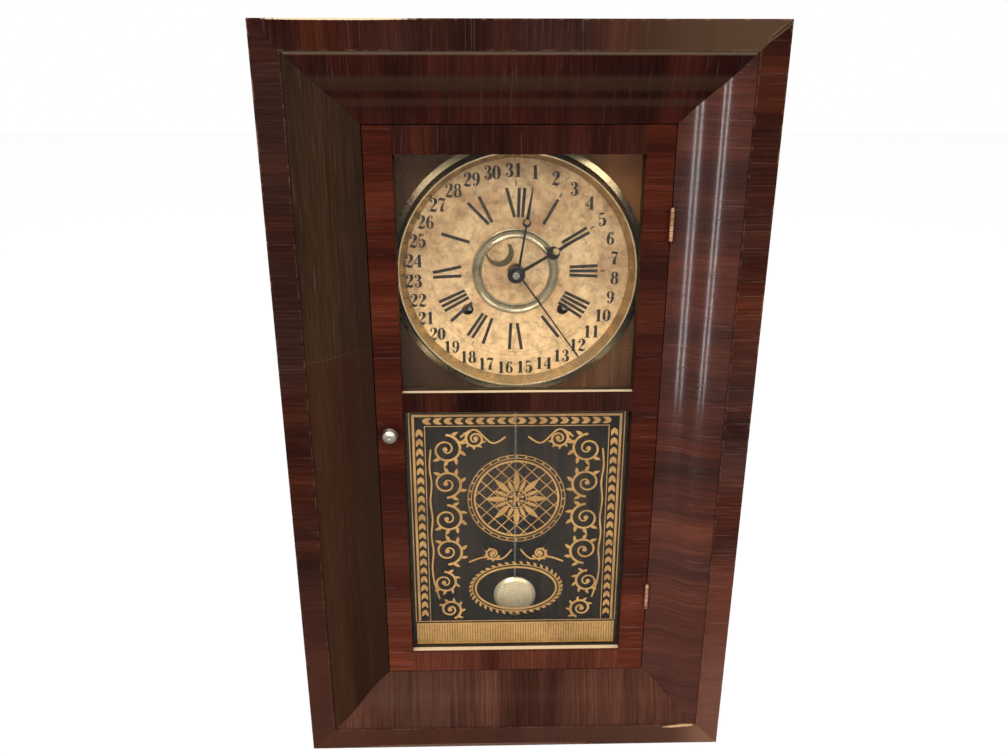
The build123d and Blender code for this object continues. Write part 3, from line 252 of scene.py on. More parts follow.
def mark(wood, colour, tone, x, z, wide, high, angle=0.0, share=0.9):
    """A worn or bare patch with a ragged edge, in mm, turned by an angle in degrees."""
    a = radians(angle)
    place = wood.place()
    u = wood.calc("SUBTRACT", wood.part(place, 0), x * MM)
    v = wood.calc("SUBTRACT", wood.part(place, 2), z * MM)
    along = wood.calc("ADD", wood.product(u, cos(a)), wood.product(v, sin(a)))
    across = wood.calc("SUBTRACT", wood.product(v, cos(a)), wood.product(u, sin(a)))
    along = wood.calc("DIVIDE", along, wide * MM)
    across = wood.calc("DIVIDE", across, high * MM)
    far = wood.calc("ADD", wood.calc("POWER", along, 2.0), wood.calc("POWER", across, 2.0))
    grit = wood.noise(wood.place((500, 500, 500)), 4, 0.6)
    ragged = wood.calc("ADD", far, wood.product(grit, 1.2))
    return wood.mix(wood.product(wood.band(ragged, 1.6, 1.2), share), colour, tone)


def plain_wood(name, grain, dark, light, rough=0.7):
    """Sawn softwood or stained board, matt. grain names the axes across its fibres."""
    wood = Surface(name, rough=rough, gloss=0.25)
    rings = wood.noise(wood.place(stretched(grain, 1.6, 55.0)), 5, 0.6, 1.2)
    fibre = wood.noise(wood.place(stretched(grain, 30.0, 900.0)), 5, 0.6)
    stain = wood.noise(wood.place((14, 14, 14)), 5, 0.6, 0.6)
    colour = wood.ramp(rings, (0.32, dark), (0.66, light))
    colour = wood.mix(0.7, colour, wood.ramp(fibre, (0.3, 0.6), (0.7, 1.25)), "MULTIPLY")
    colour = wood.mix(0.6, colour, wood.ramp(stain, (0.35, 0.45), (0.6, 1.0)), "MULTIPLY")
    wood.paint(colour)
    wood.emboss(fibre, 0.5, 0.25 * MM, 0.4 * MM)
    return wood


def metal(name, colour, tarnish, rough=0.3, stained=0.5, grain=900.0, edge=0.2 * MM):
    """Metal with a dull film in patches and fine scratches."""
    body = Surface(name, rough=rough, metal=1.0)
    film = body.noise(body.place((60, 60, 60)), 6, 0.65, 0.5)
    fine = body.noise(body.place((grain, grain, grain)), 4, 0.6)
    share = body.product(body.band(film, 0.38, 0.68), stained)
    tone = body.mix(share, colour, tarnish)
    body.paint(body.mix(0.35, tone, body.ramp(fine, (0.3, 0.7), (0.7, 1.2)), "MULTIPLY"))
    body.roughen(body.calc("ADD", body.band(film, 0.35, 0.7, rough * 0.8, rough * 1.35),
                           body.band(fine, 0.3, 0.7, -0.04, 0.06), True))
    body.emboss(fine, 0.12, 0.05 * MM, edge)
    return body


def clear_glass(name, tint, share):
    """A thin pane: it passes what is behind it, tinted, and mirrors a small share."""
    glass = Surface(name)
    waves = glass.noise(glass.place((16, 16, 9)), 2, 0.4)
    bump = glass.add("Bump")
    bump.inputs["Strength"].default_value = 0.05
    bump.inputs["Distance"].default_value = 1.0 * MM
    glass.feed(bump.inputs["Height"], waves)
    dust = glass.noise(glass.place((90, 90, 90)), 6, 0.7)
    through = glass.add("BsdfTransparent")
    through.inputs["Color"].default_value = (*tint, 1)
    mirror = glass.add("BsdfGlossy")
    mirror.inputs["Color"].default_value = (0.95, 0.95, 0.95, 1)
    glass.feed(mirror.inputs["Roughness"], glass.band(dust, 0.4, 0.7, 0.02, 0.12))
    glass.feed(mirror.inputs["Normal"], bump.outputs["Normal"])
    glass.show(through, mirror, share)
    return glass


def give(surface, *names):
    """Puts a surface on every slot of the named CAD pieces."""
    for name in names:
        for slot in nodes[name].material_slots:
            slot.material = surface.material


RED_DARK, RED, RED_LIGHT = (0.007, 0.0013, 0.0007), (0.019, 0.0036, 0.0016), (0.040, 0.0085, 0.0032)
OLIVE = (0.028, 0.0145, 0.0065)
PLUM = (0.022, 0.0105, 0.008)
BARE = (0.42, 0.25, 0.13)


def band_finish(wood, colour):
    """The frame's top and bottom pieces, whose fibres run up and down, then wear on all four, and painted
    light towards the foot.
    """
    level, height = veneer_layers(wood, "x", RED_DARK, RED, RED_LIGHT, PLUM, 0.7, (2, 6, 1))
    level = wood.mix(stripe(wood, 0, 20, 180, 400, 500), level, (0.045, 0.023, 0.0125))
    from_middle = wood.place(shift=(0, 0, -HALF_HEIGHT))
    x, y, z = (wood.part(from_middle, axis) for axis in range(3))
    to_side = wood.calc("SUBTRACT", HALF_WIDTH, wood.calc("ABSOLUTE", x))
    to_end = wood.calc("SUBTRACT", HALF_HEIGHT, wood.calc("ABSOLUTE", z))
    mitre = wood.band(wood.calc("SUBTRACT", to_side, to_end), -0.3 * MM, 0.3 * MM)
    colour = wood.mix(mitre, colour, level)
    # Painted light: lighter towards the foot, and most of all along the right edge
    colour = wood.mix(wood.band(z, -60 * MM, -330 * MM, 0.0, 0.5), colour, (0.062, 0.022, 0.013))
    painted_light_right = wood.product(wood.band(x, 150 * MM, 185 * MM), wood.band(z, 229.8 * MM, -130.2 * MM))
    colour = wood.mix(painted_light_right, colour, (2.3, 2.5, 2.7), "MULTIPLY")
    # Worn corners on the front face alone
    rub = wood.noise(wood.place((120, 120, 120)), 5, 0.7)
    edge = wood.calc("MINIMUM", to_side, to_end)
    front = wood.band(y, -54.5 * MM, -56.2 * MM)
    worn = wood.product(wood.band(edge, 1.6 * MM, 0.2 * MM), wood.band(rub, 0.5, 0.62, 0.0, 0.5))
    colour = wood.mix(wood.product(worn, front), colour, (0.20, 0.11, 0.06))
    lip = wood.product(wood.band(edge, 20.6 * MM, 21.6 * MM), wood.band(rub, 0.46, 0.6, 0.0, 0.15))
    plain = wood.mix(lip, colour, (0.22, 0.13, 0.08))
    # A bare groove at the right of the foot, a pale strip at the top, a cracked corner and a scuffed foot
    colour = mark(wood, plain, BARE, 158, 20.6, 16, 1.6, 4)
    colour = mark(wood, colour, (0.55, 0.42, 0.26), -132, 659.9, 60, 0.9)
    colour = mark(wood, colour, (0.075, 0.045, 0.022), 189, 653, 15, 2.2, 40, 0.55)
    colour = mark(wood, colour, (0.005, 0.003, 0.002), 188.4, 652.6, 11, 0.5, 40, 1.0)
    colour = mark(wood, colour, (0.12, 0.07, 0.05), -40, 1.5, 120, 2.0, 0, 0.6)
    return wood.mix(front, plain, colour)


def left_finish(wood, colour):
    """A joint across the left moulding: olive above it, redder below, and painted shade beside the door."""
    place = wood.place()
    line = wood.calc("SUBTRACT", wood.part(place, 2), wood.product(wood.part(place, 0), 0.12))
    colour = wood.mix(wood.band(line, 418.5 * MM, 419.5 * MM, 0.5, 0.0), colour, (0.026, 0.0075, 0.003))
    joint = wood.product(wood.band(line, 418.4 * MM, 419 * MM), wood.band(line, 419.6 * MM, 419 * MM))
    colour = wood.mix(wood.product(joint, 0.3), colour, (0.08, 0.045, 0.025))
    shade = wood.product(stripe(wood, 0, -152, -124, -118, -105), 0.6)
    return wood.mix(shade, colour, (0.011, 0.0055, 0.003))


def top_finish(wood, colour):
    """Painted reflections: olive in two bands along the top moulding, and a paler line along its upper
    edge.
    """
    share = wood.calc("ADD", wood.product(stripe(wood, 2, 608, 612, 619, 623), 0.8),
                      wood.product(stripe(wood, 2, 598, 600, 603, 606), 0.7))
    colour = wood.mix(wood.product(share, 0.75), colour, (0.026, 0.0125, 0.0062))
    return wood.mix(stripe(wood, 2, 635, 637, 639, 641), colour, (0.07, 0.045, 0.028))


def putty_ledge(wood, colour):
    """Pale putty on the upward ledge in front of each glass."""
    facing = wood.part(wood.add("NewGeometry").outputs["Normal"], 2)
    ledge = wood.product(wood.band(facing, 0.5, 0.7), stripe(wood, 1, -35.5, -34.5, -26, -25))
    return wood.mix(wood.product(ledge, 0.9), colour, (0.62, 0.47, 0.29))


def board_finish(wood, colour):
    """Painted light: warmer at the upper right; painted shade: greyer to the left."""
    x, z = wood.part(wood.place(), 0), wood.part(wood.place(), 2)
    warm = wood.product(wood.band(x, 40 * MM, 80 * MM), wood.band(z, 440 * MM, 560 * MM, 0.0, 0.7))
    colour = wood.mix(warm, colour, (0.20, 0.075, 0.022))
    return wood.mix(wood.band(x, 20 * MM, -60 * MM, 0.0, 0.7), colour, (0.040, 0.021, 0.012))


def upright_finish(wood, colour):
    """Painted light: each stile is lighter towards the foot."""
    foot = wood.band(wood.part(wood.place(), 2), 260 * MM, 60 * MM)
    return wood.mix(foot, colour, (2.2, 2.7, 3.0), "MULTIPLY")


side_band = veneer("veneer_bands", "z", RED_DARK, RED, RED_LIGHT, haze=PLUM, haze_share=0.5,
                   overlay=band_finish)
ogee_left = veneer("veneer_ogee_left", "xy", (0.007, 0.0026, 0.0011), (0.020, 0.0082, 0.0032),
                   (0.038, 0.0165, 0.0055), haze=OLIVE, haze_share=0.4, rough=0.5, overlay=left_finish)
ogee_right = veneer("veneer_ogee_right", "z", RED_DARK, RED, RED_LIGHT, haze=(0.03, 0.012, 0.009),
                    haze_share=0.25, rough=0.4, coat=0.18, shift=(3, 1, 2))
# The top moulding's colours are a darker copy of the red veneer: painted shade
ogee_top = veneer("veneer_ogee_top", "x", (0.005, 0.0006, 0.0004), (0.012, 0.0015, 0.0008),
                  (0.026, 0.0042, 0.0018), haze=(0.026, 0.008, 0.0045), haze_share=0.3, shift=(1, 5, 2),
                  overlay=top_finish)
# The bottom moulding's colours are a lighter copy of the red veneer: painted reflection of light from above
ogee_bottom = veneer("veneer_ogee_bottom", "x", (0.022, 0.006, 0.0032), (0.052, 0.018, 0.0105),
                     (0.078, 0.030, 0.018), haze=(0.06, 0.026, 0.017), haze_share=0.5, shift=(4, 2, 2))
door_upright = veneer("veneer_door_upright", "z", (0.014, 0.0020, 0.0009), (0.034, 0.0053, 0.0020),
                      (0.058, 0.0105, 0.0038), haze=PLUM, haze_share=0.2, shift=(2, 0, 4),
                      overlay=upright_finish)
door_level = veneer("veneer_door_level", "x", RED_DARK, RED, RED_LIGHT, haze=PLUM, haze_share=0.25,
                    shift=(5, 2, 1), overlay=putty_ledge)
# The bottom rail is a lighter copy of the rails' veneer: painted light
rail_bottom = veneer("veneer_rail_bottom", "x", (0.03, 0.006, 0.003), (0.07, 0.017, 0.0085),
                     (0.10, 0.028, 0.014), haze=PLUM, haze_share=0.3, shift=(2, 5, 1), overlay=putty_ledge)
dial_board = veneer("veneer_dial_board", "x", (0.04, 0.015, 0.006), (0.105, 0.042, 0.015),
                    (0.17, 0.07, 0.026), haze=(0.06, 0.042, 0.028), haze_share=0.2, rough=0.5,
                    overlay=board_finish)
case_side = plain_wood("stained_side", "xy", (0.03, 0.008, 0.004), (0.07, 0.022, 0.01), 0.5)
case_end = plain_wood("stained_end", "yz", (0.03, 0.008, 0.004), (0.075, 0.03, 0.014), 0.5)
back_pine = plain_wood("aged_pine", "xy", (0.035, 0.022, 0.014), (0.085, 0.055, 0.034), 0.85)
outside = back_pine.band(back_pine.part(back_pine.place(), 1), 53 * MM, 56 * MM)
back_pine.overpaint(outside, (2.4, 2.0, 1.6), "MULTIPLY")
cheek_pine = plain_wood("dark_pine", "xy", (0.022, 0.012, 0.007), (0.055, 0.03, 0.016), 0.8)

give(side_band, "flat_mouldings")
give(ogee_left, "ogee_left")
give(ogee_right, "ogee_right")
give(ogee_top, "ogee_top")
give(ogee_bottom, "ogee_bottom")
give(door_upright, "door_stile_left", "door_stile_right")
give(door_level, "door_rail_top", "door_rail_middle")
give(rail_bottom, "door_rail_bottom")
give(dial_board, "dial_board")
give(case_side, "side_board_left", "side_board_right")
give(case_end, "top_board", "bottom_board")
give(back_pine, "back_board")
give(cheek_pine, "cheek_left", "cheek_right", "glazing_strips")

steel = metal("steel", (0.32, 0.31, 0.3), (0.12, 0.1, 0.085), 0.35)
dark_steel = metal("dark_steel", (0.03, 0.028, 0.03), (0.045, 0.03, 0.02), 0.42)
iron = metal("black_iron", (0.06, 0.058, 0.055), (0.07, 0.04, 0.025), 0.5)
brass = metal("movement_brass", (0.46, 0.31, 0.13), (0.2, 0.12, 0.055), 0.32)
bezel_brass = metal("bezel_brass", (0.56, 0.42, 0.24), (0.22, 0.16, 0.095), 0.3)
bob_brass = metal("bob_metal", (0.92, 0.72, 0.48), (0.74, 0.54, 0.34), 0.34)
bob_brass.shader.inputs["Metallic"].default_value = 0.5
hinge_brass = metal("hinge_brass", (0.66, 0.34, 0.20), (0.22, 0.10, 0.05), 0.35, 0.9)
pewter = metal("pewter", (0.42, 0.37, 0.31), (0.20, 0.165, 0.13), 0.33, 0.7)
give(bezel_brass, "bezel")
give(bob_brass, "pendulum_bob")
# Painted shade in the gaps between the knuckles
above = hinge_brass.calc("ADD", hinge_brass.part(hinge_brass.place(), 2), -KNUCKLE_JOINT)
knuckle_gap_shade = hinge_brass.calc("PINGPONG", above, HALF_KNUCKLE)
hinge_brass.overpaint(hinge_brass.band(knuckle_gap_shade, 2.1 * MM, 2.45 * MM, 0.0, 0.9), (0.02, 0.008, 0.004))
give(hinge_brass, "hinge_case_leaves", "hinge_door_leaves", "hinge_pins")
give(pewter, "door_knob")
give(dark_steel, "minute_hand", "hour_hand", "calendar_hand", "hand_nut")
give(brass, "front_plate", "back_plate", "hour_wheel", "minute_wheel", "calendar_wheel",
     "calendar_driver", "time_great_wheel", "time_second_wheel", "centre_wheel", "time_third_wheel",
     "time_fourth_wheel", "escape_wheel", "strike_great_wheel", "strike_second_wheel",
     "strike_third_wheel", "fly", "rating_nut")
give(steel, "plate_pillars", "mainsprings", "door_catch", "centre_arbor", "pendulum_rod", "verge",
     "time_winding_arbor", "strike_winding_arbor")
give(iron, "gong_stand", "gong_coil", "strike_hammer")
give(clear_glass("upper_glass", (0.97, 0.97, 0.95), 0.007), "upper_glass")
give(clear_glass("tablet_glass", (0.90, 0.91, 0.89), 0.012), "tablet_glass")

# Aged paint on the dial, with painted light towards its foot and painted shade towards its top
dial = Surface("dial_paint", rough=0.55, gloss=0.3)
grime = dial.noise(dial.place((26, 26, 26)), 7, 0.62, 0.6)
speck = dial.noise(dial.place((420, 420, 420)), 4, 0.6)
cream = dial.ramp(grime, (0.30, (0.26, 0.135, 0.06)), (0.44, (0.42, 0.255, 0.125)),
                  (0.62, (0.545, 0.37, 0.20)))
stain = dial.noise(dial.place((38, 38, 38), shift=(4, 0, 7)), 8, 0.7, 0.3)
height_on_dial = dial.part(dial.place(shift=(0, 0, -DIAL_CENTRE[1])), 2)
upper = dial.band(height_on_dial, 5 * MM, 45 * MM, 0.3, 0.85)
patches = dial.product(dial.band(stain, 0.50, 0.54), upper)
cream = dial.mix(patches, cream, (0.27, 0.115, 0.045))
# Painted light towards the foot of the dial, then painted shade towards its top
cream = dial.mix(dial.band(height_on_dial, 10 * MM, -80 * MM, 0.0, 0.75), cream, (0.76, 0.50, 0.25))
shade = dial.band(height_on_dial, -70 * MM, 60 * MM, 0.0, 0.55)
cream = dial.mix(shade, cream, dial.ramp(grime, (0.3, (0.22, 0.13, 0.06)), (0.6, (0.43, 0.29, 0.155))))
mottle = dial.noise(dial.place((130, 130, 130), shift=(3, 2, 1)), 6, 0.7, 0.3)
cream = dial.mix(0.8, cream, dial.ramp(mottle, (0.38, 0.55), (0.50, 0.95), (0.66, 1.18)), "MULTIPLY")
crackle = dial.add("TexVoronoi", feature="DISTANCE_TO_EDGE")
dial.feed(crackle.inputs["Vector"], dial.place((170, 170, 170)))
cracks = dial.band(crackle.outputs["Distance"], 0.07, 0.0, 0.0, 0.4)
cream = dial.mix(cracks, cream, (0.25, 0.13, 0.06))
cream = dial.mix(0.5, cream, dial.ramp(speck, (0.28, 0.62), (0.5, 1.0)), "MULTIPLY")
dial.paint(cream)
dial.emboss(speck, 0.15, 0.1 * MM)
give(dial, "dial_plate")

ink = Surface("dial_ink", rough=0.5, gloss=0.3)
worn = ink.noise(ink.place((300, 300, 300)), 5, 0.7)
ink.paint(ink.ramp(worn, (0.5, (0.012, 0.01, 0.009)), (0.72, (0.06, 0.035, 0.02))))

faded_ink = Surface("faded_ink", rough=0.55, gloss=0.3)
faded = faded_ink.noise(faded_ink.place((220, 220, 220)), 5, 0.7)
faded_ink.paint(faded_ink.ramp(faded, (0.35, (0.16, 0.09, 0.045)), (0.6, (0.42, 0.27, 0.14))))

gold = Surface("gold_print", rough=0.5, metal=0.25)
flake = gold.noise(gold.place((340, 340, 340)), 5, 0.65)
age = gold.noise(gold.place((30, 30, 30)), 4, 0.6)
gold_tone = gold.ramp(age, (0.3, (0.42, 0.20, 0.055)), (0.65, (0.68, 0.36, 0.11)))
gold.paint(gold.mix(0.6, gold_tone, gold.ramp(flake, (0.3, 0.5), (0.55, 1.0)), "MULTIPLY"))


# Drawn shapes: flat ribbons and patches in the x-z plane, facing the viewer
def between(p, q, r, s, t):
    """The number a share t of the way from q to r on a smooth curve through p, q, r and s."""
    bend = 2 * p - 5 * q + 4 * r - s
    twist = 3 * q - p - 3 * r + s
    return 0.5 * (2 * q + (r - p) * t + bend * t * t + twist * t ** 3)


def smooth_line(points, steps=6):
    """A smooth curve through points of any number of values."""
    if len(points) < 3 or steps < 2:
        return [tuple(p) for p in points]
    ends = [points[0]] + list(points) + [points[-1]]
    line = []
    for near in zip(ends, ends[1:], ends[2:], ends[3:]):
        for step in range(steps):
            line.append(tuple(between(*values, step / steps) for values in zip(*near)))
    line.append(tuple(points[-1]))
    return line


def unmoved(x, z):
    return (x, z)


def add_piece(name, mesh, surface, body):
    """An object of one mesh that moves with a body."""
    mesh.materials.append(surface.material)
    piece = bpy.data.objects.new(name, mesh)
    bpy.context.scene.collection.objects.link(piece)
    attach(piece, body)


class Drawing:
    """Collects flat shapes and makes one mesh of them."""

    def __init__(self, weight=1.0):
        self.weight = weight
        self.spots = []
        self.faces = []

    def stroke(self, points, width=None, steps=6):
        """A ribbon along points (x, z) of one width, or (x, z, width)."""
        line = smooth_line([p if len(p) == 3 else (*p, width) for p in points], steps)
        line = [(x, z, wide * self.weight) for x, z, wide in line]
        start = len(self.spots)
        for index, (x, z, wide) in enumerate(line):
            x0, z0, _ = line[max(index - 1, 0)]
            x1, z1, _ = line[min(index + 1, len(line) - 1)]
            length = sqrt((x1 - x0) ** 2 + (z1 - z0) ** 2) or 1.0
            side = ((z0 - z1) / length * wide / 2, (x1 - x0) / length * wide / 2)
            self.spots += [(x + side[0], z + side[1]), (x - side[0], z - side[1])]
        for index in range(len(line) - 1):
            a = start + 2 * index
            self.faces.append((a, a + 1, a + 3, a + 2))

    def patch(self, points):
        """A flat shape with these corners."""
        start = len(self.spots)
        self.spots += [tuple(p) for p in points]
        self.faces.append(tuple(range(start, start + len(points))))

    def dot(self, x, z, radius, sides=14):
        self.patch([(x + radius * cos(2 * pi * k / sides), z + radius * sin(2 * pi * k / sides))
                    for k in range(sides)])

    def ring(self, x, z, wide, high, width, start=0.0, end=360.0, sides=72):
        """An elliptical line, or a part of one, in degrees counter-clockwise from the right."""
        count = max(3, int(sides * abs(end - start) / 360))
        turn = [radians(start + (end - start) * k / count) for k in range(count + 1)]
        self.stroke([(x + wide * cos(t), z + high * sin(t)) for t in turn], width, 1)

    def join(self, other, carry=unmoved):
        """Adds another drawing, carried by a function of (x, z)."""
        start = len(self.spots)
        self.spots += [carry(x, z) for x, z in other.spots]
        self.faces += [tuple(start + k for k in face) for face in other.faces]

    def depths(self):
        """A hair's difference in depth between shapes, so that those that cross don't lie in one plane."""
        depth = [0.0] * len(self.spots)
        level, last = 0, -1
        for face in self.faces:
            if min(face) > last:
                level += 1
            last = max(last, max(face))
            for spot in face:
                depth[spot] = -(level % DEPTH_LEVELS) * DEPTH_STEP
        return depth

    def build(self, name, y, surface, body):
        """Makes the mesh at a depth y, with every face towards the viewer."""
        mesh = bpy.data.meshes.new(name)
        spots = [(x, y + step, z) for (x, z), step in zip(self.spots, self.depths())]
        mesh.from_pydata(spots, [], self.faces)
        work = bmesh.new()
        work.from_mesh(mesh)
        for face in work.faces:
            face.normal_update()
            if face.normal.y > 0:
                face.normal_flip()
        work.to_mesh(mesh)
        work.free()
        add_piece(name, mesh, surface, body)


def turned(name, profile, centre, surface, body, sides=96):
    """A ring of revolution about the y axis through centre (x, z), from (radius, y) points."""
    spots, faces = [], []
    for k in range(sides):
        a = 2 * pi * k / sides
        spots += [(centre[0] + r * MM * sin(a), y * MM, centre[1] + r * MM * cos(a)) for r, y in profile]
    rows = len(profile)
    for k in range(sides):
        after = (k + 1) % sides
        faces += [(k * rows + j, k * rows + j + 1, after * rows + j + 1, after * rows + j)
                  for j in range(rows - 1)]
    mesh = bpy.data.meshes.new(name)
    mesh.from_pydata(spots, [], faces)
    work = bmesh.new()
    work.from_mesh(mesh)
    bmesh.ops.recalc_face_normals(work, faces=work.faces)
    work.to_mesh(mesh)
    work.free()
    mesh.polygons.foreach_set("use_smooth", [True] * len(mesh.polygons))
    add_piece(name, mesh, surface, body)


# Digits with thick stems, thin joints and round ends, one unit high and about 0.6 wide
def bowl(drawing, x, z, wide, high, thick, thin=0.035):
    """A closed loop, thick at its sides and thin at its top and foot."""
    points = []
    for k in range(BOWL_STEPS + 1):
        t = 2 * pi * k / BOWL_STEPS
        points.append((x + wide * cos(t), z + high * sin(t), thin + (thick - thin) * abs(cos(t)) ** 1.5))
    drawing.stroke(points, None, 1)


def upside_down(x, z):
    return (DIGIT_WIDTH - x, 1 - z)


def digit(number):
    """One digit, from (0, 0) to its width and 1."""
    drawing = Drawing(DIGIT_WEIGHT)
    if number == 0:
        bowl(drawing, 0.30, 0.5, 0.21, 0.475, 0.17)
    elif number == 1:
        drawing.stroke([(0.32, 0.0), (0.32, 1.0)], 0.16)
        drawing.stroke([(0.30, 0.99, 0.04), (0.22, 0.88, 0.07), (0.12, 0.84, 0.03)])
        drawing.stroke([(0.10, 0.02), (0.54, 0.02)], 0.04)
    elif number == 2:
        drawing.dot(0.15, 0.77, 0.085)
        drawing.stroke([(0.08, 0.78, 0.04), (0.14, 0.94, 0.05), (0.30, 0.98, 0.05), (0.47, 0.88, 0.15),
                        (0.49, 0.70, 0.17), (0.38, 0.50, 0.09), (0.20, 0.28, 0.05), (0.08, 0.06, 0.04)])
        drawing.stroke([(0.06, 0.04, 0.06), (0.20, 0.10, 0.14), (0.40, 0.06, 0.14), (0.54, 0.10, 0.06),
                        (0.56, 0.26, 0.03)])
    elif number == 3:
        drawing.dot(0.15, 0.80, 0.08)
        drawing.stroke([(0.08, 0.82, 0.03), (0.15, 0.95, 0.05), (0.29, 0.98, 0.05), (0.45, 0.86, 0.14),
                        (0.45, 0.70, 0.15), (0.34, 0.57, 0.06), (0.22, 0.53, 0.04)])
        drawing.stroke([(0.22, 0.53, 0.04), (0.40, 0.49, 0.08), (0.50, 0.32, 0.17), (0.46, 0.11, 0.14),
                        (0.29, 0.02, 0.05), (0.14, 0.05, 0.05), (0.08, 0.18, 0.03)])
        drawing.dot(0.15, 0.21, 0.08)
    elif number == 4:
        drawing.stroke([(0.42, 0.98), (0.04, 0.29)], 0.045)
        drawing.stroke([(0.02, 0.28), (0.60, 0.28)], 0.05)
        drawing.stroke([(0.44, 0.0), (0.44, 0.98)], 0.16)
        drawing.stroke([(0.28, 0.02), (0.60, 0.02)], 0.04)
    elif number == 5:
        drawing.stroke([(0.12, 0.94, 0.11), (0.34, 0.95, 0.10), (0.52, 0.99, 0.03)])
        drawing.stroke([(0.13, 0.95), (0.12, 0.50)], 0.04)
        drawing.stroke([(0.12, 0.52, 0.04), (0.30, 0.61, 0.05), (0.49, 0.48, 0.15), (0.49, 0.20, 0.16),
                        (0.32, 0.02, 0.05), (0.15, 0.05, 0.05), (0.08, 0.18, 0.03)])
        drawing.dot(0.15, 0.20, 0.08)
    elif number in (6, 9):
        six = Drawing(DIGIT_WEIGHT)
        bowl(six, 0.32, 0.29, 0.19, 0.265, 0.14)
        six.stroke([(0.13, 0.30, 0.14), (0.14, 0.58, 0.15), (0.24, 0.86, 0.10), (0.38, 0.98, 0.04),
                    (0.50, 0.92, 0.04), (0.53, 0.83, 0.03)])
        six.dot(0.46, 0.83, 0.075)
        drawing.join(six, unmoved if number == 6 else upside_down)
    elif number == 7:
        drawing.stroke([(0.06, 0.99, 0.03), (0.05, 0.72, 0.03)])
        drawing.stroke([(0.06, 0.88, 0.06), (0.20, 0.94, 0.14), (0.40, 0.90, 0.13), (0.56, 0.97, 0.04)])
        drawing.stroke([(0.56, 0.98, 0.03), (0.42, 0.62, 0.06), (0.31, 0.32, 0.14), (0.29, 0.0, 0.19)])
    else:
        bowl(drawing, 0.31, 0.755, 0.165, 0.225, 0.13)
        bowl(drawing, 0.31, 0.28, 0.205, 0.26, 0.16)
    return drawing


def on_dial(radius, angle):
    """The point at a distance and a clockwise angle from twelve o'clock on the dial."""
    turn = radians(angle)
    return (DIAL_CENTRE[0] + radius * sin(turn), DIAL_CENTRE[1] + radius * cos(turn))


ring_metal = metal("ring_metal", (0.34, 0.28, 0.18), (0.14, 0.11, 0.065), 0.3, 0.8)
turned("centre_ring", [(28.6, -7.8), (28.9, -8.7), (29.5, -9.1), (30.2, -8.7), (30.5, -8.0), (32.4, -7.95),
                       (34.7, -8.0), (35.0, -8.7), (35.7, -9.1), (36.4, -8.7), (36.7, -7.8)],
       DIAL_CENTRE, ring_metal, "case")
turned("hand_washer", [(3.0, -21.45), (3.0, -21.75), (6.2, -21.75), (6.9, -21.5), (7.2, -21.35),
                       (7.2, -21.3)], DIAL_CENTRE, dark_steel, "minute_set", 40)
turned("arbor_tip", [(0.0, -24.75), (1.2, -24.7), (1.6, -24.55), (2.3, -24.6), (2.7, -24.7), (3.0, -24.55)],
       DIAL_CENTRE, steel, "minute_set", 32)


# The crescent in the middle of the dial, and the brass seen in it, darkened with painted shade
def crescent_edge(circle, lag):
    """Points along one edge, in metres. lag in radians sets it back round its own centre."""
    x, z, radius = circle
    start, span = MOON_ARC
    angles = [radians(start + span * k / MOON_STEPS) - lag for k in range(MOON_STEPS + 1)]
    return [((x + radius * cos(a)) * MM, (z + radius * sin(a)) * MM) for a in angles]


moon = Drawing()
outside_edge = crescent_edge(MOON_OUTSIDE, 0.0)
inside_edge = crescent_edge(MOON_INSIDE, 0.12)
for k in range(MOON_STEPS):
    moon.patch([outside_edge[k], outside_edge[k + 1], inside_edge[k + 1], inside_edge[k]])
moon_brass_in_shade = metal("moon_brass_in_shade", (0.13, 0.10, 0.055), (0.07, 0.052, 0.028), 0.5, 0.6)
moon.build("moon_opening", DIAL_FRONT - INK_LIFT, moon_brass_in_shade, "case")

days = Drawing()
for day in range(1, DAYS + 1):
    text = str(day)
    turn = FIRST_NUMERAL + (day - 1) * NUMERAL_STEP
    x, z = on_dial(NUMERAL_RADIUS, turn + 1.1 * sin(radians(turn)))
    x, z = x + NUMERAL_SHIFT[0], z + NUMERAL_SHIFT[1]
    for place, character in enumerate(text):
        offset = (place - (len(text) - 1) / 2) * DIGIT_PITCH - DIGIT_WIDTH / 2
        days.join(digit(int(character)), lambda u, v: (x + (u + offset) * NUMERAL_HEIGHT * 0.98,
                                                       z + (v - 0.5) * NUMERAL_HEIGHT))
days.build("day_numerals", DIAL_FRONT - INK_LIFT, ink, "case")


def beside_hour(turn, radius, across):
    """The point at a radius and a distance across the direction of an hour, in mm at middle radius."""
    across *= MM * FLARE[radius]
    return (DIAL_CENTRE[0] + radius * sin(turn) + across * cos(turn),
            DIAL_CENTRE[1] + radius * cos(turn) - across * sin(turn))


def letter_lines(letter, middle):
    """The feet and heads of a letter's thick lines, then of its hairlines."""
    if letter == "I":
        return [(middle, middle)], []
    if letter == "V":
        return [(middle, middle - 3.0)], [(middle + 0.4, middle + 3.2)]
    return [(middle + 2.8, middle - 2.8)], [(middle - 2.9, middle + 2.9)]


# Roman numerals: thick strokes dark, hairlines faded
thick_strokes, thin_strokes = Drawing(), Drawing()
for hour, letters in enumerate(ROMANS):
    turn = radians(hour * 30)
    total = sum(LETTER_WIDTH[letter] for letter in letters)
    at = -total / 2
    for letter in letters:
        thick_lines, thin_lines = letter_lines(letter, at + LETTER_WIDTH[letter] / 2)
        for lines, target, width in ((thick_lines, thick_strokes, 2.7), (thin_lines, thin_strokes, 0.5)):
            for foot, head in lines:
                target.stroke([beside_hour(turn, ROMAN_INNER, foot), beside_hour(turn, ROMAN_OUTER, head)],
                              width * MM)
        at += LETTER_WIDTH[letter]
    for radius in (ROMAN_INNER, ROMAN_OUTER):
        half = total / 2 + 0.6
        thin_strokes.stroke([beside_hour(turn, radius, side * half) for side in (-1, 1)], 0.45 * MM)
thick_strokes.build("hour_numerals", DIAL_FRONT - INK_LIFT, ink, "case")
thin_strokes.build("hour_hairlines", DIAL_FRONT - INK_LIFT * 0.8, faded_ink, "case")

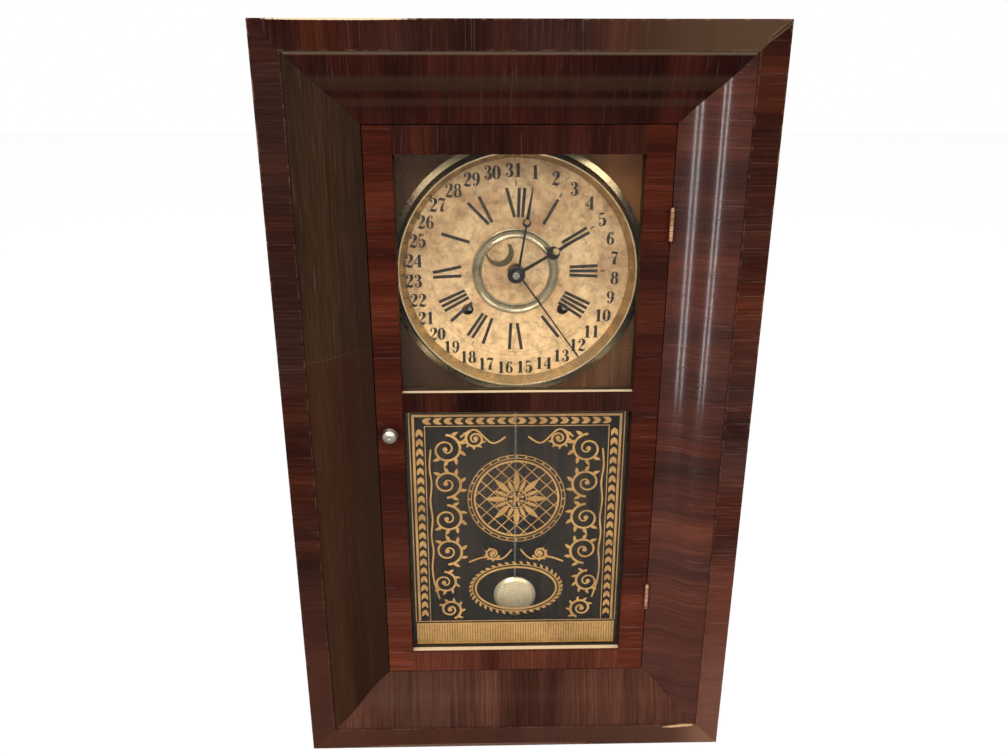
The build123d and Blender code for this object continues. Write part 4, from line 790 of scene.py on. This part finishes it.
track = Drawing()
for radius in TRACK_RADII:
    track.ring(*DIAL_CENTRE, radius, radius, 0.35 * MM, sides=180)
for minute in range(60):
    track.stroke([on_dial(TRACK_RADII[0], minute * 6), on_dial(TRACK_RADII[1], minute * 6)],
                 (0.8 if minute % 5 == 0 else 0.35) * MM)
track.build("minute_track", DIAL_FRONT - INK_LIFT * 0.7, faded_ink, "case")
hour_ticks = Drawing()
for hour in range(12):
    hour_ticks.stroke([on_dial(TRACK_RADII[0], hour * 30), on_dial(TRACK_RADII[1], hour * 30)], 1.0 * MM)
hour_ticks.build("hour_ticks", DIAL_FRONT - INK_LIFT, ink, "case")


# Printed tablet: a generic design of scrolls, leaves, lattice and a ringed window
def leaf(x, z, length, width, angle):
    """A pointed leaf that starts at (x, z)."""
    drawing = Drawing()
    rows = 8
    side = [(length * k / rows, width / 2 * sin(pi * (k / rows) ** 0.8)) for k in range(rows + 1)]
    outline = side + [(u, -v) for u, v in reversed(side[1:-1])]
    a = radians(angle)
    drawing.patch([(x + u * cos(a) - v * sin(a), z + u * sin(a) + v * cos(a)) for u, v in outline])
    return drawing


def scroll(x, z, radius, start, turns, hand, width):
    """A spiral that winds in to (x, z)."""
    drawing = Drawing()
    count = int(26 * turns)
    points = []
    for k in range(count + 1):
        t = k / count
        a = radians(start) + hand * 2 * pi * turns * t
        r = radius * (1 - t) ** 0.9 + 0.8 * MM
        points.append((x + r * cos(a), z + r * sin(a), width * (1 - 0.45 * t)))
    drawing.stroke(points, None, 1)
    drawing.dot(points[-1][0], points[-1][1], width * 0.95)
    return drawing


def spray(target, x, z, radius, start, hand, width, leaves=6):
    """A scroll with leaves along its outer turn."""
    target.join(scroll(x, z, radius, start, 1.75, hand, width))
    for k in range(leaves):
        turn = start + hand * (20 + 38 * k)
        a = radians(turn)
        r = radius * (1 - 0.060 * k) + 0.6 * MM
        target.join(leaf(x + r * cos(a), z + r * sin(a), radius * 0.55, radius * 0.24, turn + hand * 38))


def leaf_ring(target, z, wide, high, count, length, width, first=0.0, lean=0.0):
    """Leaves round an ellipse about (0, z), in mm, each leaning by an angle from the outward one."""
    for k in range(count):
        angle = k * 360 / count + first
        a = radians(angle)
        target.join(leaf(wide * MM * cos(a), z + high * MM * sin(a), length * MM, width * MM, angle + lean))


# Right half: ruled lines, a leaf border and scrolled panels
TABLET_FOOT, TABLET_HEAD = TABLET_Z
RULED = TABLET_X - 4 * MM
BORDER = 12.6 * MM
LEAF_STEP = 9.4
half_design = Drawing()
for inset, width in ((4.0, 1.0), (7.4, 2.2), (17.5, 0.7)):
    side, head = TABLET_X - inset * MM, TABLET_HEAD - inset * MM
    half_design.stroke([(0, head), (side, head)], width * MM, 1)
    half_design.stroke([(side, head + width / 2 * MM), (side, TABLET_FOOT + 29 * MM)], width * MM, 1)
for k in range(21):
    z = TABLET_HEAD - (20 + k * LEAF_STEP) * MM
    for angle in (250, 290):
        half_design.join(leaf(TABLET_X - BORDER, z, 8.4 * MM, 3.4 * MM, angle))
for k in range(9):
    x = (8 + k * LEAF_STEP) * MM
    for angle in (160, 200):
        half_design.join(leaf(x, TABLET_HEAD - BORDER, 8.4 * MM, 3.4 * MM, angle))
for x, z, radius, start, hand in ((63, 306, 13.5, 90, 1), (63, 272, 13.5, 270, -1), (63, 236, 13.5, 90, 1),
                                  (63, 202, 13.5, 270, -1), (67, 168, 11, 90, 1), (37, 316, 8, 60, -1),
                                  (62, 138, 10, 250, -1), (22, 199, 6, 200, 1)):
    spray(half_design, x * MM, z * MM, radius * MM, start, hand, 2.3 * MM)
STEMS = (
    (1.5, ((76.5, 306), (78, 289), (76.5, 272), (78, 254), (76.5, 236), (78, 219), (76.5, 202), (78, 185),
           (76.5, 168), (72, 150))),
    (1.6, ((10, 318), (22, 312), (37, 325), (50, 318))),
    (1.6, ((4, 203), (14, 193), (30, 195), (44, 190))),
)
for width, points in STEMS:
    half_design.stroke([(x * MM, z * MM) for x, z in points], width * MM)

design = Drawing()
design.join(half_design)
design.join(half_design, lambda x, z: (-x, z))

# Medallion: a lattice ground inside rings, with a rosette in the middle
MEDALLION_Z = 256 * MM
MEDALLION = 38
LATTICE_STEP = 9.6
DIAGONAL = sqrt(0.5)
for k in range(-5, 6):
    for slant in (-1, 1):
        offset = k * LATTICE_STEP * MM
        reach = sqrt(max((MEDALLION * MM) ** 2 - offset ** 2, 0))
        ends = [((offset - slant * reach * t) * DIAGONAL,
                 MEDALLION_Z + (slant * offset + reach * t) * DIAGONAL) for t in (-1, 1)]
        design.stroke(ends, 0.8 * MM, 1)
for radius, width in ((MEDALLION, 1.8), (41, 0.7), (44, 0.7)):
    design.ring(0, MEDALLION_Z, radius * MM, radius * MM, width * MM)
for k in range(32):
    a = 2 * pi * k / 32
    design.dot(42.5 * MM * cos(a), MEDALLION_Z + 42.5 * MM * sin(a), 1.0 * MM)
for start, length, width, first in ((9, 20, 5.4, 0), (9, 13, 3.6, 22.5), (3.4, 5.0, 2.2, 22.5)):
    leaf_ring(design, MEDALLION_Z, start, start, 8, length, width, first)
design.dot(0, MEDALLION_Z, 2.6 * MM)
design.ring(0, MEDALLION_Z, 9 * MM, 9 * MM, 0.9 * MM)

# Ringed window round the bob
window_z = BOB_Z + 29 * MM
for wide, tall, width in ((38, 23, 2.0), (41, 26, 0.9)):
    design.ring(0, window_z, wide * MM, tall * MM, width * MM)
leaf_ring(design, window_z, 41.5, 26.5, 40, 5.0, 2.4, lean=55)

# Reeded band along the bottom
REEDS = 78
for height, width in ((3.2, 1.6), (25.5, 1.4), (28.2, 0.8)):
    z = TABLET_FOOT + height * MM
    design.stroke([(-RULED, z), (RULED, z)], width * MM, 1)
for k in range(REEDS):
    x = -RULED + 2 * RULED * (k + 0.5) / REEDS
    design.stroke([(x, TABLET_FOOT + 4 * MM), (x, TABLET_FOOT + 24.8 * MM)], 2.0 * MM, 1)
design.build("tablet_print", TABLET_BACK + TABLET_LIFT, gold, "door")


# Studio
def pale_stage(name, colour, glow):
    """A pale diffuse surface, partly lit by itself for what the camera, metal and glass see."""
    surface = Surface(name, rough=0.9, gloss=0.1)
    surface.paint(colour)
    ray = surface.add("LightPath").outputs
    mirrored = surface.calc("MAXIMUM", ray["Is Glossy Ray"], ray["Is Transmission Ray"])
    seen = surface.calc("MAXIMUM", ray["Is Camera Ray"], mirrored)
    shine = surface.add("Emission")
    shine.inputs["Color"].default_value = WHITE
    surface.show(surface.shader, shine, surface.product(seen, glow))
    return surface.material


floor_mesh = bpy.data.meshes.new("floor")
corners = [(x * FLOOR_HALF, y * FLOOR_HALF, 0.0) for x, y in ((-1, -1), (1, -1), (1, 1), (-1, 1))]
floor_mesh.from_pydata(corners, [], [(0, 1, 2, 3)])
floor_mesh.materials.append(pale_stage("pale_floor", (0.96, 0.96, 0.96), 0.96))
floor = bpy.data.objects.new("floor", floor_mesh)
bpy.context.scene.collection.objects.link(floor)

world = bpy.data.worlds.new("studio")
bpy.context.scene.world = world
world.use_nodes = True
sky = world.node_tree
lighting = sky.nodes["Background"]
lighting.inputs["Color"].default_value = WHITE
lighting.inputs["Strength"].default_value = 0.3
backdrop = sky.nodes.new("ShaderNodeBackground")
backdrop.inputs["Color"].default_value = WHITE
rays = sky.nodes.new("ShaderNodeLightPath")
share = rays.outputs["Is Camera Ray"]
for ray in ("Is Glossy Ray", "Is Transmission Ray"):
    either = sky.nodes.new("ShaderNodeMath")
    either.operation = "MAXIMUM"
    sky.links.new(share, either.inputs[0])
    sky.links.new(rays.outputs[ray], either.inputs[1])
    share = either.outputs[0]
both = sky.nodes.new("ShaderNodeMixShader")
sky.links.new(share, both.inputs[0])
sky.links.new(lighting.outputs[0], both.inputs[1])
sky.links.new(backdrop.outputs[0], both.inputs[2])
sky.links.new(both.outputs[0], sky.nodes["World Output"].inputs["Surface"])


def lamp(name, place, aim, size, power):
    """A rectangular lamp, in metres and watts."""
    light = bpy.data.lights.new(name, "AREA")
    light.shape = "RECTANGLE"
    light.size, light.size_y = size
    light.energy = power
    holder = bpy.data.objects.new(name, light)
    holder.location = place
    holder.rotation_euler = (Vector(aim) - Vector(place)).to_track_quat("-Z", "Y").to_euler()
    bpy.context.scene.collection.objects.link(holder)
    return holder


lamp("key", (-0.7, -2.0, 2.2), (0, 0, 0.35), (1.8, 1.2), 72)
lamp("fill", (1.5, -1.8, 1.6), (0, 0, 0.3), (1.6, 1.2), 31)
lamp("overhead", (0, 0.5, 4.0), (0, 0.5, 0), (6.0, 6.0), 235)
# Two narrow lamps that light the right-hand moulding alone, for its long highlights
STRIP_AIM = (0.17, -0.05, 0.38)
STRIP_DISTANCE = 0.6
moulding = bpy.data.collections.new("glossy_side")
moulding.objects.link(nodes["ogee_right"])
for name, angle in (("strip_near", 44), ("strip_far", 32)):
    place = (STRIP_AIM[0] - STRIP_DISTANCE * sin(radians(angle)),
             STRIP_AIM[1] - STRIP_DISTANCE * cos(radians(angle)), STRIP_AIM[2])
    strip = lamp(name, place, STRIP_AIM, (0.034, 0.5), 3.2)
    strip.visible_camera = False
    strip.light_linking.receiver_collection = moulding

camera_data = bpy.data.cameras.new("camera")
camera_data.lens = CAMERA_LENS
camera_data.sensor_width = 36
camera = bpy.data.objects.new("camera", camera_data)
camera.location = CAMERA_PLACE
facing = Euler((radians(CAMERA_TILT), 0, radians(CAMERA_TURN))).to_matrix()
camera.rotation_euler = (facing @ Matrix.Rotation(radians(CAMERA_ROLL), 3, "Z")).to_euler()
bpy.context.scene.collection.objects.link(camera)
bpy.context.scene.camera = camera
bpy.context.scene.view_settings.view_transform = "Standard"
